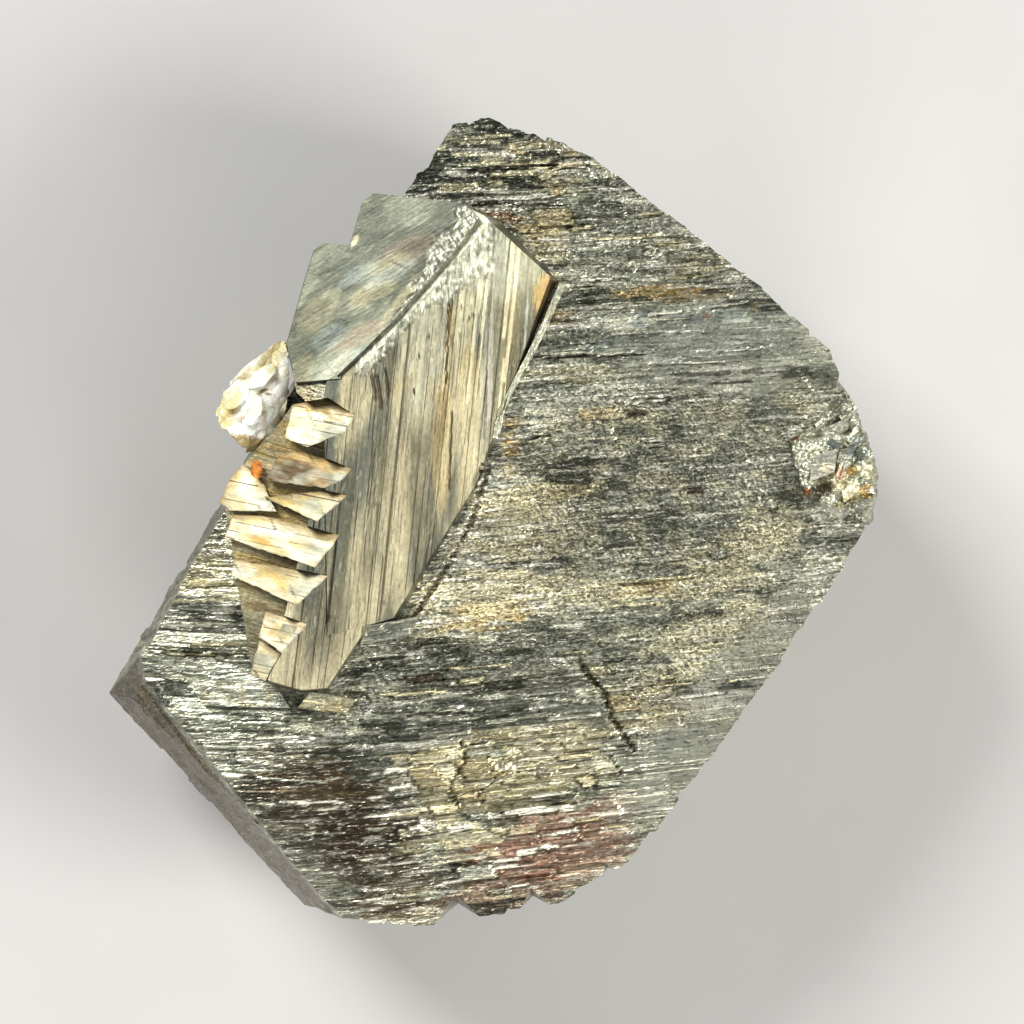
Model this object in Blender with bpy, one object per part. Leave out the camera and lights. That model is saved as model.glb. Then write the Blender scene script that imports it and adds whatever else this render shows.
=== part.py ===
"""Arsenopyrite specimen: a rhombic main crystal with a twin grown through it, and a tuft of mica.

The specimen lies on its back. +Z points out of its striated front face, +Y to its upper end and
+X to its right-hand side. Shapes are made in millimetres and turned into metres at the end.
"""
import math
import random
from dataclasses import dataclass

import bmesh
import bpy
from mathutils import Matrix, Vector

METRES = 0.001

# Driving dimensions, in millimetres and degrees
FRONT_HEIGHT = 15.0         # the level middle of the main crystal's front face
UPPER_BREAK = 7.5           # the front face slopes away above this Y,
UPPER_SLOPE = 6.0
LOWER_BREAK = -11.5         # below this Y,
LOWER_SLOPE = 9.0
LEFT_BREAK = -9.0           # and to the left of this X
LEFT_SLOPE = 12.0
STRIATION_HEADING = 4.5     # the front face's striations rise a little to the right
TWIN_HEADING = 267.5        # those of the twin run almost straight down
LEDGE_SETBACK = (0.3, 0.9)  # growth ledges end this far inside the outline
MICA_GAP = 0.3
BLOCK = 140.0               # edge of the block that each crystal is cut from

# Corners of the front outline, counter-clockwise from the lower left, each with the lean of the wall
# that starts there: positive walls spread towards the back, negative ones draw in
MAIN_OUTLINE = [
    (-7.6, -20.15, -2), (-4.3, -20.4, -3), (3.1, -19.3, -3), (7.1, -17.0, -9), (14.7, -6.6, -10),
    (18.8, -0.2, -6), (19.3, 2.9, -6), (16.8, 8.9, -7), (10.2, 14.55, -5), (4.6, 18.7, -6),
    (-0.7, 20.5, -7), (-2.3, 20.1, -4), (-4.75, 16.4, 5), (-17.9, -6.85, None),
]
WEST_TIP = (-19.88, -8.82, 5.5)
WEST_EDGE = (-17.9, -6.85)
SOUTH_WEST_CORNER = (-17.7, -8.1)
BEVEL_LOWER_END = (-12.2, -14.8)
BEVEL_FOOT = (-16.2, -10.85, 12.3)
SOUTH_WEST_WALL = ((-17.93, -9.06), (-7.95, -20.1), 12.3, 10.4)

# Back edges: a point under the edge, the way it faces in plan, its height and its slope
BACK_BEVELS = [
    ((-16.3, -12.6), 228, 5.5, 42), ((-12.0, 3.0), 150, 4.2, 50), ((-2.0, 19.3), 100, 5.5, 46),
    ((8.0, 15.0), 52, 4.6, 40), ((17.8, 4.0), 20, 5.2, 48), ((15.5, -4.0), 328, 3.6, 38),
    ((9.0, -12.5), 325, 5.6, 52), ((0.0, -19.0), 272, 5.0, 44),
]

# V-shaped notches in the lower edge: apex, half angle, turn of the notch's axis
LOWER_NOTCHES = [
    (-5.4, -19.75, 44, 4), (-2.0, -18.5, 41, 6), (1.8, -18.25, 40, 10), (5.5, -17.0, 38, 22),
]
EDGE_NOTCHES = [
    (-1.35, 19.75, 40, 170), (0.75, 19.55, 36, 195), (2.6, 18.95, 34, 200),
    (18.35, 4.55, 38, 115), (18.75, 2.35, 34, 100), (16.95, 6.4, 36, 130),
]

# The twin crystal: its striated face and its smooth upper face, as z = height + x * dx + y * dy
TWIN_FACE = (14.55, -0.4525, 0.1826)
ROOF_FACE = (24.37, 0.2633, -0.4342)
TWIN_UPPER = [
    (-8.4, -5.8), (-4.8, -4.75), (-0.75, 2.15), (2.95, 12.2), (-0.02, 15.2), (-1.5, 15.9),
    (-6.1, 16.3), (-7.1, 13.9), (-8.6, 6.3),
]
TWIN_UPPER_LEANS = [4, 14, 22, 8, 4, 0, 3, 2, 2]
TWIN_LOWER = [(-11.3, -8.0), (-9.65, -8.45), (-8.3, -8.3), (-6.3, -5.2), (-4.6, -1.5), (-6.0, 2.0), (-9.0, 1.0)]
TWIN_WEST = [
    (-8.3, 5.0), (-5.0, 5.0), (-4.0, 10.0), (-5.0, 13.5), (-8.4, 13.75), (-8.85, 13.5),
    (-9.3, 12.0), (-10.2, 8.9), (-9.8, 6.6),
]
ROOF_UPPER = [
    (-7.2, 6.4), (-5.0, 8.8), (-2.3, 12.3), (-0.6, 15.0), (-1.5, 15.9), (-6.15, 16.4), (-6.6, 15.9),
    (-7.2, 13.85), (-8.5, 8.0),
]
ROOF_LOWER = [
    (-8.3, 6.4), (-7.2, 6.4), (-5.9, 10.5), (-6.7, 13.7), (-8.5, 13.9), (-8.95, 13.55),
    (-9.45, 12.0), (-10.35, 8.9), (-9.85, 6.6),
]
ROOF_THICKNESS = 1.7
CORE_FACE = (19.9, 0.30, 0.02)
TWIN_CORE = [
    (-12.2, -7.5), (-11.3, -8.0), (-8.9, -2.6), (-7.7, 2.7), (-7.5, 5.0), (-8.4, 6.2),
    (-10.1, 6.0), (-12.6, 3.0), (-13.6, 0.8),
]


@dataclass(frozen=True)
class Shingle:
    """One lozenge plate of the stack on the twin's left side: its plan, and its right tip's height."""
    outline: tuple
    tip: tuple
    tip_height: float


SHINGLES = [
    Shingle(((-13.9, 1.0), (-13.3, 0.5), (-10.8, 0.5), (-11.7, 1.0), (-11.6, 2.3), (-12.6, 3.2), (-13.3, 2.3)),
            (-10.8, 0.5), 17.3),
    Shingle(((-13.7, -0.85), (-8.9, -2.25), (-7.9, -1.0), (-7.65, -0.6), (-9.8, -0.2), (-11.5, 0.5), (-13.2, 0.6)),
            (-7.65, -0.6), 18.2),
    Shingle(((-13.3, -2.75), (-9.8, -4.15), (-8.2, -2.6), (-11.5, -2.15), (-13.2, -1.6)), (-8.2, -2.6), 18.05),
    Shingle(((-11.8, -5.7), (-10.6, -6.5), (-9.2, -5.0), (-11.55, -4.25)), (-9.2, -5.0), 18.0),
    Shingle(((-12.2, -7.55), (-11.4, -7.9), (-10.6, -6.5), (-11.8, -5.7)), (-10.6, -6.5), 17.35),
    Shingle(((-11.6, 2.0), (-8.5, 1.65), (-7.65, 2.0), (-7.0, 2.7), (-9.5, 3.65), (-10.8, 3.55)),
            (-7.0, 2.7), 18.5),
    Shingle(((-11.6, 1.15), (-8.8, 0.0), (-7.2, 1.4), (-8.5, 1.65), (-11.7, 1.4)), (-7.2, 1.4), 18.35),
    Shingle(((-10.55, 4.1), (-9.25, 3.7), (-7.5, 4.4), (-6.8, 5.3), (-8.25, 6.2), (-10.15, 6.0)),
            (-6.8, 5.3), 18.9),
]
SHINGLE_SLOPE = (0.30, -0.33)
SHINGLE_LEAN = 5.0
SHINGLE_OVERLAP = 0.04
SHINGLE_FLOOR = 9.0         # height of the plates' roots over the origin

# Shallow rhombic pits in the face that the specimen rests on: x, y, length, width, turn, depth
BASE_PITS = [
    (-7.5, -5.0, 7.5, 2.2, 60, 0.9), (9.5, 7.5, 8.0, 2.4, 142, 0.8), (3.0, 12.5, 6.0, 1.8, 10, 0.6),
    (8.5, -4.5, 6.5, 2.0, 58, 0.7), (0.5, -12.0, 5.5, 2.2, 8, 0.8), (-2.0, 5.5, 4.2, 1.5, 60, 0.5),
    (12.5, 1.5, 4.0, 1.2, 60, 0.6), (3.6, 2.6, 5.0, 1.0, 8, 0.4),
]

# Small rhombic ledges round the twin's foot: x, y, length, width, turn, skew, rise
FOOT_LEDGES = [
    (-5.3, -5.4, 2.6, 1.0, 10, 60, 0.50), (-8.9, -8.95, 1.3, 1.0, -8, 60, 0.45),
    (-7.75, -9.1, 1.1, 0.9, -10, 60, 0.30), (-12.8, -8.6, 4.4, 1.5, -2, 125, 0.35),
]

# The broken pocket in the right-hand edge, and the small crystals in it: x, y, height, length, width, turn
POCKET_PLANS = [
    ((14.6, 4.05), (15.45, 1.4), (17.3, 0.1), (22.0, -0.5), (22.0, 6.5), (16.6, 5.4)),
    ((15.9, 5.0), (22.0, 4.0), (22.0, 9.4), (17.2, 6.3)),
]
POCKET_FLOOR = (15.4, -0.15, 0.0)
POCKET_CRYSTALS = [
    (16.1, 3.9, 14.0, 2.2, 1.1, 25), (17.3, 4.9, 13.7, 1.8, 1.1, 62), (17.6, 3.4, 13.5, 2.0, 1.2, 14),
    (16.2, 2.4, 13.9, 1.9, 1.0, 78), (17.7, 1.9, 13.8, 2.1, 1.2, 40), (18.3, 2.9, 13.2, 1.5, 0.9, 96),
    (16.5, 1.0, 14.5, 2.3, 0.8, -8), (18.3, 0.9, 13.9, 1.8, 1.0, 20), (18.2, 4.1, 13.1, 1.5, 0.9, 48),
]

# Mica flakes: centre, across, thickness, and the tilt of each flake about X and Y
MICA_FLAKES = [
    ((-12.2, 6.2, 15.6), 4.4, 0.9, -14, -10), ((-12.7, 5.3, 14.8), 3.6, 1.0, 22, -18),
    ((-11.6, 7.6, 15.0), 3.0, 0.8, -30, 8), ((-12.9, 6.4, 13.6), 3.2, 1.1, -12, -42),
    ((-11.4, 4.9, 15.6), 2.5, 0.8, 34, 16), ((-12.1, 4.4, 14.3), 2.6, 1.0, 52, -10),
    ((-11.1, 8.2, 14.0), 2.4, 0.9, -48, 4), ((-11.6, 6.0, 16.5), 2.9, 0.7, 8, 12),
    ((-13.1, 5.2, 13.2), 2.4, 0.9, 30, -50), ((-11.7, 6.6, 12.8), 3.4, 1.4, 6, 20),
]


@dataclass(frozen=True)
class Plane:
    """A flat face: a point on it, and the way that it faces."""
    point: Vector
    normal: Vector


def clear_scene():
    for old in list(bpy.data.objects):
        bpy.data.objects.remove(old, do_unlink=True)


def surface(name, colour, metallic, roughness):
    """Make a plain material."""
    material = bpy.data.materials.new(name)
    material.use_nodes = True
    shader = material.node_tree.nodes["Principled BSDF"]
    shader.inputs["Base Color"].default_value = (*colour, 1.0)
    shader.inputs["Metallic"].default_value = metallic
    shader.inputs["Roughness"].default_value = roughness
    return material


def object_from(name, shape):
    """Turn a bmesh into an object in the scene."""
    mesh = bpy.data.meshes.new(name)
    shape.to_mesh(mesh)
    shape.free()
    made = bpy.data.objects.new(name, mesh)
    bpy.context.scene.collection.objects.link(made)
    return made


def wall(start, end, height, lean):
    """Side face through the line start-end, outside to its right; a positive lean spreads it downwards."""
    outward = Vector((end[1] - start[1], start[0] - end[0], 0.0)).normalized()
    tilt = math.radians(lean)
    return Plane(Vector((*start[:2], height)), outward * math.cos(tilt) + Vector((0, 0, math.sin(tilt))))


def walls(outline, height, leans):
    """Side faces round a counter-clockwise outline."""
    ends = outline[1:] + outline[:1]
    return [wall(a, b, height, lean) for a, b, lean in zip(outline, ends, leans)]


def sheet(height, dx, dy, drop=0.0):
    """The upward face z = height + x * dx + y * dy, set lower by drop."""
    return Plane(Vector((0, 0, height - drop)), Vector((-dx, -dy, 1)).normalized())


def under(height, dx=0.0, dy=0.0):
    """The downward face z = height + x * dx + y * dy."""
    return Plane(Vector((0, 0, height)), Vector((dx, dy, -1)).normalized())


def inset(face, distance):
    """The same face moved inwards."""
    return Plane(face.point - face.normal * distance, face.normal)


def plane_through(first, second, third, facing):
    """The face through three points that looks roughly along facing."""
    a, b, c = (Vector(point) for point in (first, second, third))
    normal = (b - a).cross(c - a).normalized()
    return Plane(a, normal if normal.dot(Vector(facing)) > 0 else -normal)


def crystal(name, faces):
    """Cut a convex crystal out of a block with its face planes."""
    shape = bmesh.new()
    bmesh.ops.create_cube(shape, size=BLOCK)
    for face in faces:
        geometry = shape.verts[:] + shape.edges[:] + shape.faces[:]
        bmesh.ops.bisect_plane(
            shape, geom=geometry, dist=1e-5, plane_co=face.point, plane_no=face.normal, clear_outer=True)
        bmesh.ops.holes_fill(shape, edges=[edge for edge in shape.edges if edge.is_boundary])
    bmesh.ops.recalc_face_normals(shape, faces=shape.faces[:])
    return object_from(name, shape)


def combine(target, tools, operation):
    """Join the tools to the target, or cut them out of it, and remove them."""
    group = bpy.data.collections.new("tools")
    bpy.context.scene.collection.children.link(group)
    for tool in tools:
        group.objects.link(tool)
    step = target.modifiers.new("combine", "BOOLEAN")
    step.operation = operation
    step.operand_type = "COLLECTION"
    step.collection = group
    evaluated = target.evaluated_get(bpy.context.evaluated_depsgraph_get())
    result = bpy.data.meshes.new_from_object(evaluated)
    target.modifiers.clear()
    target.data = result
    bpy.data.collections.remove(group)
    for tool in tools:
        bpy.data.objects.remove(tool, do_unlink=True)
    return target


def comb(name, face, along, pitch, depth, seed, reach=32.0):
    """A cutter that leaves straight steps on a face: a seeded saw-tooth profile drawn along the face."""
    dice = random.Random(seed)
    normal = face.normal
    run = (Vector(along) - normal * normal.dot(Vector(along))).normalized()
    across = normal.cross(run)
    place = -reach
    profile = []
    while place < reach:
        tooth = dice.uniform(*pitch)
        notch = dice.uniform(*depth)
        profile.append((place, -notch))
        profile.append((place + tooth * dice.uniform(0.68, 0.86), -notch * dice.uniform(0.05, 0.3)))
        place += tooth
    profile += [(place, -depth[0]), (place, 3.0), (-reach, 3.0)]
    centre = face.point - run * face.point.dot(run) - across * face.point.dot(across)
    shape = bmesh.new()
    rings = []
    for end in (-reach, reach):
        rings.append([shape.verts.new(centre + run * end + across * v + normal * h) for v, h in profile])
    count = len(profile)
    shape.faces.new(rings[0])
    shape.faces.new(list(reversed(rings[1])))
    for i in range(count):
        j = (i + 1) % count
        shape.faces.new((rings[0][i], rings[1][i], rings[1][j], rings[0][j]))
    bmesh.ops.recalc_face_normals(shape, faces=shape.faces[:])
    return object_from(name, shape)


def striate(target, striations):
    """Cut each listed face of a crystal into steps: face, direction, pitch range, depth range, seed."""
    for number, (face, along, pitch, depth, seed) in enumerate(striations):
        combine(target, [comb(f"comb_{number}", face, along, pitch, depth, seed)], "DIFFERENCE")
    return target


def heading(degrees):
    """The level direction at an angle from +X."""
    return Vector((math.cos(math.radians(degrees)), math.sin(math.radians(degrees)), 0.0))


def front_sheets():
    """The four faces of the main crystal's front."""
    upper, lower, left = (math.tan(math.radians(a)) for a in (UPPER_SLOPE, LOWER_SLOPE, LEFT_SLOPE))
    return [
        (FRONT_HEIGHT, 0.0, 0.0),
        (FRONT_HEIGHT + upper * UPPER_BREAK, 0.0, -upper),
        (FRONT_HEIGHT - lower * LOWER_BREAK, 0.0, lower),
        (FRONT_HEIGHT - left * LEFT_BREAK, left, 0.0),
    ]


def front_height(x, y):
    """Height of the main crystal's front above a point."""
    return min(height + dx * x + dy * y for height, dx, dy in front_sheets())


def main_faces():
    """Face planes of the main crystal, by name."""
    faces = {f"front_{i}": sheet(*data) for i, data in enumerate(front_sheets())}
    for i, (corner, following) in enumerate(zip(MAIN_OUTLINE, MAIN_OUTLINE[1:])):
        middle = ((corner[0] + following[0]) / 2, (corner[1] + following[1]) / 2)
        faces[f"side_{i}"] = wall(corner[:2], following[:2], front_height(*middle), corner[2])
    first = (*SOUTH_WEST_CORNER, front_height(*SOUTH_WEST_CORNER))
    last = (*BEVEL_LOWER_END, front_height(*BEVEL_LOWER_END))
    edge = (*WEST_EDGE, front_height(*WEST_EDGE))
    faces["bevel"] = plane_through(first, last, BEVEL_FOOT, (-1, -1, 1))
    faces["south_west"] = wall(*SOUTH_WEST_WALL)
    faces["west_tip"] = plane_through(edge, WEST_TIP, first, (-1, 0, 0))
    for i, (point, turn, height, slope) in enumerate(BACK_BEVELS):
        tilt = math.radians(slope)
        normal = heading(turn) * math.sin(tilt) - Vector((0, 0, math.cos(tilt)))
        faces[f"back_{i}"] = Plane(Vector((*point, height)), normal)
    faces["base"] = under(0.0)
    return faces


def main_crystal(faces):
    """The rhombic main crystal with its striated faces."""
    body = crystal("arsenopyrite_crystals", faces.values())
    level = heading(STRIATION_HEADING)
    striations = [
        (faces["front_0"], level, (0.9, 1.9), (0.10, 0.30), 11),
        (faces["front_1"], heading(STRIATION_HEADING - 1), (0.7, 1.6), (0.08, 0.30), 12),
        (faces["front_2"], heading(STRIATION_HEADING + 3), (0.8, 1.5), (0.10, 0.34), 13),
        (faces["front_3"], heading(STRIATION_HEADING - 9), (0.7, 1.4), (0.10, 0.34), 14),
        (faces["bevel"], heading(312), (0.5, 1.0), (0.05, 0.16), 15),
        (faces["south_west"], Vector((0.1, 0.1, 1.0)), (2.2, 4.5), (0.04, 0.14), 16),
        (faces["side_3"], Vector((0.2, 0.2, 1.0)), (1.4, 3.0), (0.05, 0.18), 17),
        (faces["side_4"], Vector((0.2, 0.3, 1.0)), (1.2, 2.6), (0.05, 0.20), 25),
        (faces["side_7"], Vector((0.1, 0.1, 1.0)), (1.6, 3.2), (0.05, 0.22), 18),
        (faces["side_8"], Vector((-0.2, 0.1, 1.0)), (1.3, 2.8), (0.05, 0.24), 19),
        (faces["side_12"], Vector((0.1, 0.2, 1.0)), (1.5, 3.2), (0.10, 0.36), 20),
        (faces["back_1"], heading(60), (1.0, 2.2), (0.15, 0.5), 21),
        (faces["back_3"], heading(142), (1.0, 2.2), (0.15, 0.5), 22),
        (faces["back_6"], heading(52), (1.0, 2.4), (0.15, 0.5), 23),
        (faces["back_0"], heading(318), (1.2, 2.6), (0.12, 0.4), 24),
    ]
    return striate(body, striations)


def lozenge(name, centre, length, width, turn, skew, faces):
    """A rhombic plan drawn out between the given upper and lower faces."""
    along, across = heading(turn) * (length / 2), heading(turn + skew) * (width / 2)
    middle = Vector((*centre, 0.0))
    plan = [middle - along - across, middle + along - across, middle + along + across, middle - along + across]
    corners = [(point.x, point.y) for point in plan]
    return crystal(name, walls(corners, faces[0].point.z, [3.0] * 4) + faces)


def ledges(outer):
    """Parallel growth ledges that stand a little proud of the main crystal's front, inside its outer faces."""
    dice = random.Random(31)
    zones = [
        # x range, y range, number, length range, width range, rise range, heading
        ((-4.5, 7.5), (-17.2, -9.6), 15, (2.4, 5.2), (0.7, 1.3), (0.12, 0.36), 7.0),
        ((-17.0, -11.5), (-11.0, -1.5), 10, (2.2, 4.6), (0.5, 1.0), (0.12, 0.36), -5.0),
        ((0.0, 12.0), (12.8, 17.6), 7, (2.4, 5.6), (0.5, 1.1), (0.10, 0.30), 3.0),
        ((3.5, 15.0), (-5.5, 11.5), 9, (3.0, 7.0), (0.6, 1.4), (0.08, 0.22), 4.5),
        ((-11.5, 6.0), (-8.8, -18.8), 6, (2.4, 5.0), (0.5, 1.0), (0.10, 0.26), 5.0),
    ]
    made = []
    for (x_low, x_high), (y_low, y_high), number, lengths, widths, rises, turn in zones:
        for _ in range(number):
            x, y = dice.uniform(x_low, x_high), dice.uniform(y_low, y_high)
            _, dx, dy = min(front_sheets(), key=lambda data: data[0] + data[1] * x + data[2] * y)
            top_normal = Vector((-dx, -dy + dice.uniform(-0.035, 0.035), 1)).normalized()
            top = Plane(Vector((x, y, front_height(x, y) + dice.uniform(*rises))), top_normal)
            faces = [top, under(front_height(x, y) - 1.2)]
            faces += [inset(face, dice.uniform(*LEDGE_SETBACK)) for face in outer]
            size = dice.uniform(*lengths), dice.uniform(*widths)
            skew = dice.choice((56.0, 118.0)) + dice.uniform(-6.0, 6.0)
            made.append(lozenge("ledge", (x, y), *size, turn + dice.uniform(-2.0, 2.0), skew, faces))
    return made


def foot_ledges():
    """The small rhombs that step up to the twin's foot."""
    made = []
    for x, y, length, width, turn, skew, rise in FOOT_LEDGES:
        top = Plane(Vector((x, y, front_height(x, y) + rise)), Vector((0.12, -0.08, 1)).normalized())
        made.append(lozenge("foot_ledge", (x, y), length, width, turn, skew, [top, under(FRONT_HEIGHT - 3.0)]))
    return made


def base_pits():
    """Cutters for the shallow pits and growth steps in the resting face."""
    made = []
    for x, y, length, width, turn, depth in BASE_PITS:
        top = Plane(Vector((x, y, depth)), Vector((0.05, -0.07, 1)).normalized())
        made.append(lozenge("base_pit", (x, y), length, width, turn, 62.0, [top, under(-2.0)]))
    return made


def notch(apex_x, apex_y, half_angle, turn):
    """A wedge-shaped cutter that opens away from its apex; turn 0 opens towards -Y."""
    middle = -90.0 + turn
    apex = Vector((apex_x, apex_y, 0.0))
    left, right = (apex + heading(middle + side * half_angle) * 6.0 for side in (-1, 1))
    corners = [(apex.x, apex.y), (left.x, left.y), (right.x, right.y)]
    return crystal("notch", walls(corners, FRONT_HEIGHT, [-4.0, 0.0, -4.0]) + [sheet(22.0, 0, 0), under(-2.0)])


def notches():
    """Cutters for the saw-toothed lower edge and the small gaps in the other edges."""
    return [notch(*data) for data in LOWER_NOTCHES + EDGE_NOTCHES]


def twin_crystal():
    """The twin: a striated face, a smooth roof face over it, and the stack of plates on its left."""
    upper = crystal("twin", walls(TWIN_UPPER, 15.0, TWIN_UPPER_LEANS) + [
        sheet(*TWIN_FACE), sheet(*ROOF_FACE, drop=0.35), under(7.0)])
    lower = crystal("twin_lower", walls(TWIN_LOWER, 15.5, [4, 4, 4, 10, 4, 0, 0]) + [
        sheet(*TWIN_FACE, drop=0.07), under(8.0)])
    striate(upper, [(sheet(*TWIN_FACE), heading(TWIN_HEADING), (0.7, 1.5), (0.06, 0.22), 41)])
    striate(lower, [(sheet(*TWIN_FACE, drop=0.07), heading(TWIN_HEADING - 2), (0.6, 1.2), (0.05, 0.18), 42)])
    west = crystal("twin_west", walls(TWIN_WEST, 15.0, [0, 0, 0, 0, -3, -3, -3, -3, -3]) + [
        sheet(*ROOF_FACE, drop=0.6), sheet(*TWIN_FACE, drop=0.3), under(3.5, -0.55)])
    roof_upper = crystal("roof_upper", walls(ROOF_UPPER, 17.0, [26, 24, 20, 6, 2, 2, 2, 2, 2]) + [
        sheet(*ROOF_FACE), under(ROOF_FACE[0] - ROOF_THICKNESS, *ROOF_FACE[1:])])
    roof_lower = crystal("roof_lower", walls(ROOF_LOWER, 17.0, [20, 18, 0, 2, 3, 3, 3, 3, 3]) + [
        sheet(*ROOF_FACE, drop=0.22), under(ROOF_FACE[0] - ROOF_THICKNESS * 1.3, *ROOF_FACE[1:])])
    core = crystal("twin_core", walls(TWIN_CORE, 15.0, [2] * 9) + [
        sheet(*CORE_FACE), under(4.0, -0.4)])
    combine(upper, [lower, west, roof_upper, roof_lower, core], "UNION")
    combine(upper, [shingle_room(plate) for plate in SHINGLES], "DIFFERENCE")
    return combine(upper, [shingle(number, plate) for number, plate in enumerate(SHINGLES)], "UNION")


def shingle_top(plate):
    """Height and slopes of a plate's upper face."""
    dx, dy = SHINGLE_SLOPE
    return plate.tip_height - dx * plate.tip[0] - dy * plate.tip[1], dx, dy


def shingle_walls(plate):
    """Side faces of a plate."""
    plan = hull(plate.outline)
    return walls(plan, plate.tip_height, [-SHINGLE_LEAN] * len(plan))


def shingle_room(plate):
    """The space above a plate, which the twin leaves free."""
    sides = [inset(face, SHINGLE_OVERLAP) for face in shingle_walls(plate)]
    height, dx, dy = shingle_top(plate)
    return crystal("shingle_room", sides + [sheet(26.0, 0, 0), under(height - SHINGLE_OVERLAP, dx, dy)])


def shingle(number, plate):
    """A lozenge plate, tilted so that its lower edge stands over the next plate."""
    floor = SHINGLE_FLOOR + 0.13 * number
    return crystal("shingle", shingle_walls(plate) + [sheet(*shingle_top(plate)), under(floor, -0.2)])


def hull(points):
    """Counter-clockwise convex outline round plan points."""
    ordered = sorted(points)
    halves = []
    for run in (ordered, ordered[::-1]):
        chain = []
        for point in run:
            while len(chain) > 1 and turn_of(chain[-2], chain[-1], point) <= 1e-6:
                chain.pop()
            chain.append(point)
        halves.append(chain[:-1])
    return halves[0] + halves[1]


def turn_of(first, second, third):
    """Positive where the path first-second-third turns left."""
    return ((second[0] - first[0]) * (third[1] - first[1])
            - (second[1] - first[1]) * (third[0] - first[0]))


def pocket():
    """Cutters for the broken pocket in the right-hand edge."""
    return [crystal("pocket", walls(list(plan), FRONT_HEIGHT, [-12.0] * len(plan)) + [
        sheet(19.0, 0, 0), under(POCKET_FLOOR[0] + 0.15 * number, *POCKET_FLOOR[1:])])
        for number, plan in enumerate(POCKET_PLANS)]


def pocket_crystals():
    """Small rhombic crystals that stand on the pocket's floor."""
    made = []
    for number, (x, y, height, length, width, turn) in enumerate(POCKET_CRYSTALS):
        lean = heading(turn + 70.0) * (0.35 if number % 2 else -0.30)
        top = Plane(Vector((x, y, height)), (Vector((0, 0, 1)) + lean).normalized())
        second = Plane(Vector((x, y, height + 0.05)), (Vector((0, 0, 1)) - lean * 1.4).normalized())
        made.append(lozenge("pocket_crystal", (x, y), length, width, turn, 62.0, [top, second, under(10.5)]))
    return made


def mica_tuft():
    """A tuft of thin six-sided flakes grown over one another."""
    flakes = []
    for number, (centre, across, thickness, tilt_x, tilt_y) in enumerate(MICA_FLAKES):
        shape = bmesh.new()
        bmesh.ops.create_cone(
            shape, cap_ends=True, segments=6, radius1=across / 2, radius2=across / 2 * 0.9, depth=thickness)
        turn = Matrix.Rotation(math.radians(37.0 * number), 4, "Z")
        tilt = Matrix.Rotation(math.radians(tilt_x), 4, "X") @ Matrix.Rotation(math.radians(tilt_y), 4, "Y")
        bmesh.ops.transform(shape, matrix=Matrix.Translation(centre) @ tilt @ turn, verts=shape.verts[:])
        flakes.append(object_from("mica_tuft" if not number else "flake", shape))
    tuft, others = flakes[0], flakes[1:]
    tuft.name = "mica_tuft"
    return combine(tuft, others, "UNION")


def clearance(source, gap):
    """A closed convex shape a gap wider than the source on every side."""
    directions = [Vector((x, y, z)).normalized() for x in (-1, 0, 1) for y in (-1, 0, 1) for z in (-1, 0, 1)
                  if x or y or z]
    shape = bmesh.new()
    for vertex in source.data.vertices:
        for direction in directions:
            shape.verts.new(vertex.co + direction * gap)
    found = bmesh.ops.convex_hull(shape, input=shape.verts[:])
    loose = set(found["geom_interior"]) | set(found["geom_unused"])
    bmesh.ops.delete(shape, geom=[part for part in loose if isinstance(part, bmesh.types.BMVert)], context="VERTS")
    bmesh.ops.recalc_face_normals(shape, faces=shape.faces[:])
    return object_from("clearance", shape)


def finish(target, material):
    """Turn a piece into metres, tidy its mesh and give it its material."""
    shape = bmesh.new()
    shape.from_mesh(target.data)
    bmesh.ops.remove_doubles(shape, verts=shape.verts[:], dist=1e-4)
    bmesh.ops.scale(shape, vec=Vector((METRES,) * 3), verts=shape.verts[:])
    shape.to_mesh(target.data)
    shape.free()
    target.data.materials.clear()
    target.data.materials.append(material)
    return target


def build():
    clear_scene()
    steel = surface("arsenopyrite", (0.36, 0.35, 0.31), 1.0, 0.38)
    pearl = surface("mica", (0.78, 0.74, 0.58), 0.0, 0.42)

    faces = main_faces()
    outer = [face for name, face in faces.items() if not name.startswith(("front", "back", "base"))]
    crystals = main_crystal(faces)
    combine(crystals, ledges(outer), "UNION")
    combine(crystals, notches() + pocket() + base_pits(), "DIFFERENCE")
    combine(crystals, [twin_crystal()] + foot_ledges() + pocket_crystals(), "UNION")

    tuft = mica_tuft()
    combine(crystals, [clearance(tuft, MICA_GAP)], "DIFFERENCE")

    finish(crystals, steel)
    finish(tuft, pearl)


build()
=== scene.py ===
import logging
import math
from dataclasses import dataclass, field, replace
from enum import Enum
from typing import Callable, Sequence

import bpy
import numpy as np
from mathutils import Matrix, Vector


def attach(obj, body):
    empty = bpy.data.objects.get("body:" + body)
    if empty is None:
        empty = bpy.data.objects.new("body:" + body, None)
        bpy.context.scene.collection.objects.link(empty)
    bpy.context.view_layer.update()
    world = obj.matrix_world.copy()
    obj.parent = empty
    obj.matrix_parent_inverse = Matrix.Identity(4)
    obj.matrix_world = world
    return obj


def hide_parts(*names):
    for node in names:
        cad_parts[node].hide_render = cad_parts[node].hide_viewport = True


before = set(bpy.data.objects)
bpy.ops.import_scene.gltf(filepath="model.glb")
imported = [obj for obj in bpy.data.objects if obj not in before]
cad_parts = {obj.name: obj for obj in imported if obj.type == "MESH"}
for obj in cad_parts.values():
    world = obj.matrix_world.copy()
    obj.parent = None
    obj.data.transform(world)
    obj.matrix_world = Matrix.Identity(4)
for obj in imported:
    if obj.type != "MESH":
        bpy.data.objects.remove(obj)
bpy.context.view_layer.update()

log = logging.getLogger("arsenopyrite")

METRES = 0.001              # shapes are made in millimetres and turned into metres at the end
FAR = 75.0                  # how far a face's block reaches beyond the crystal

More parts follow.
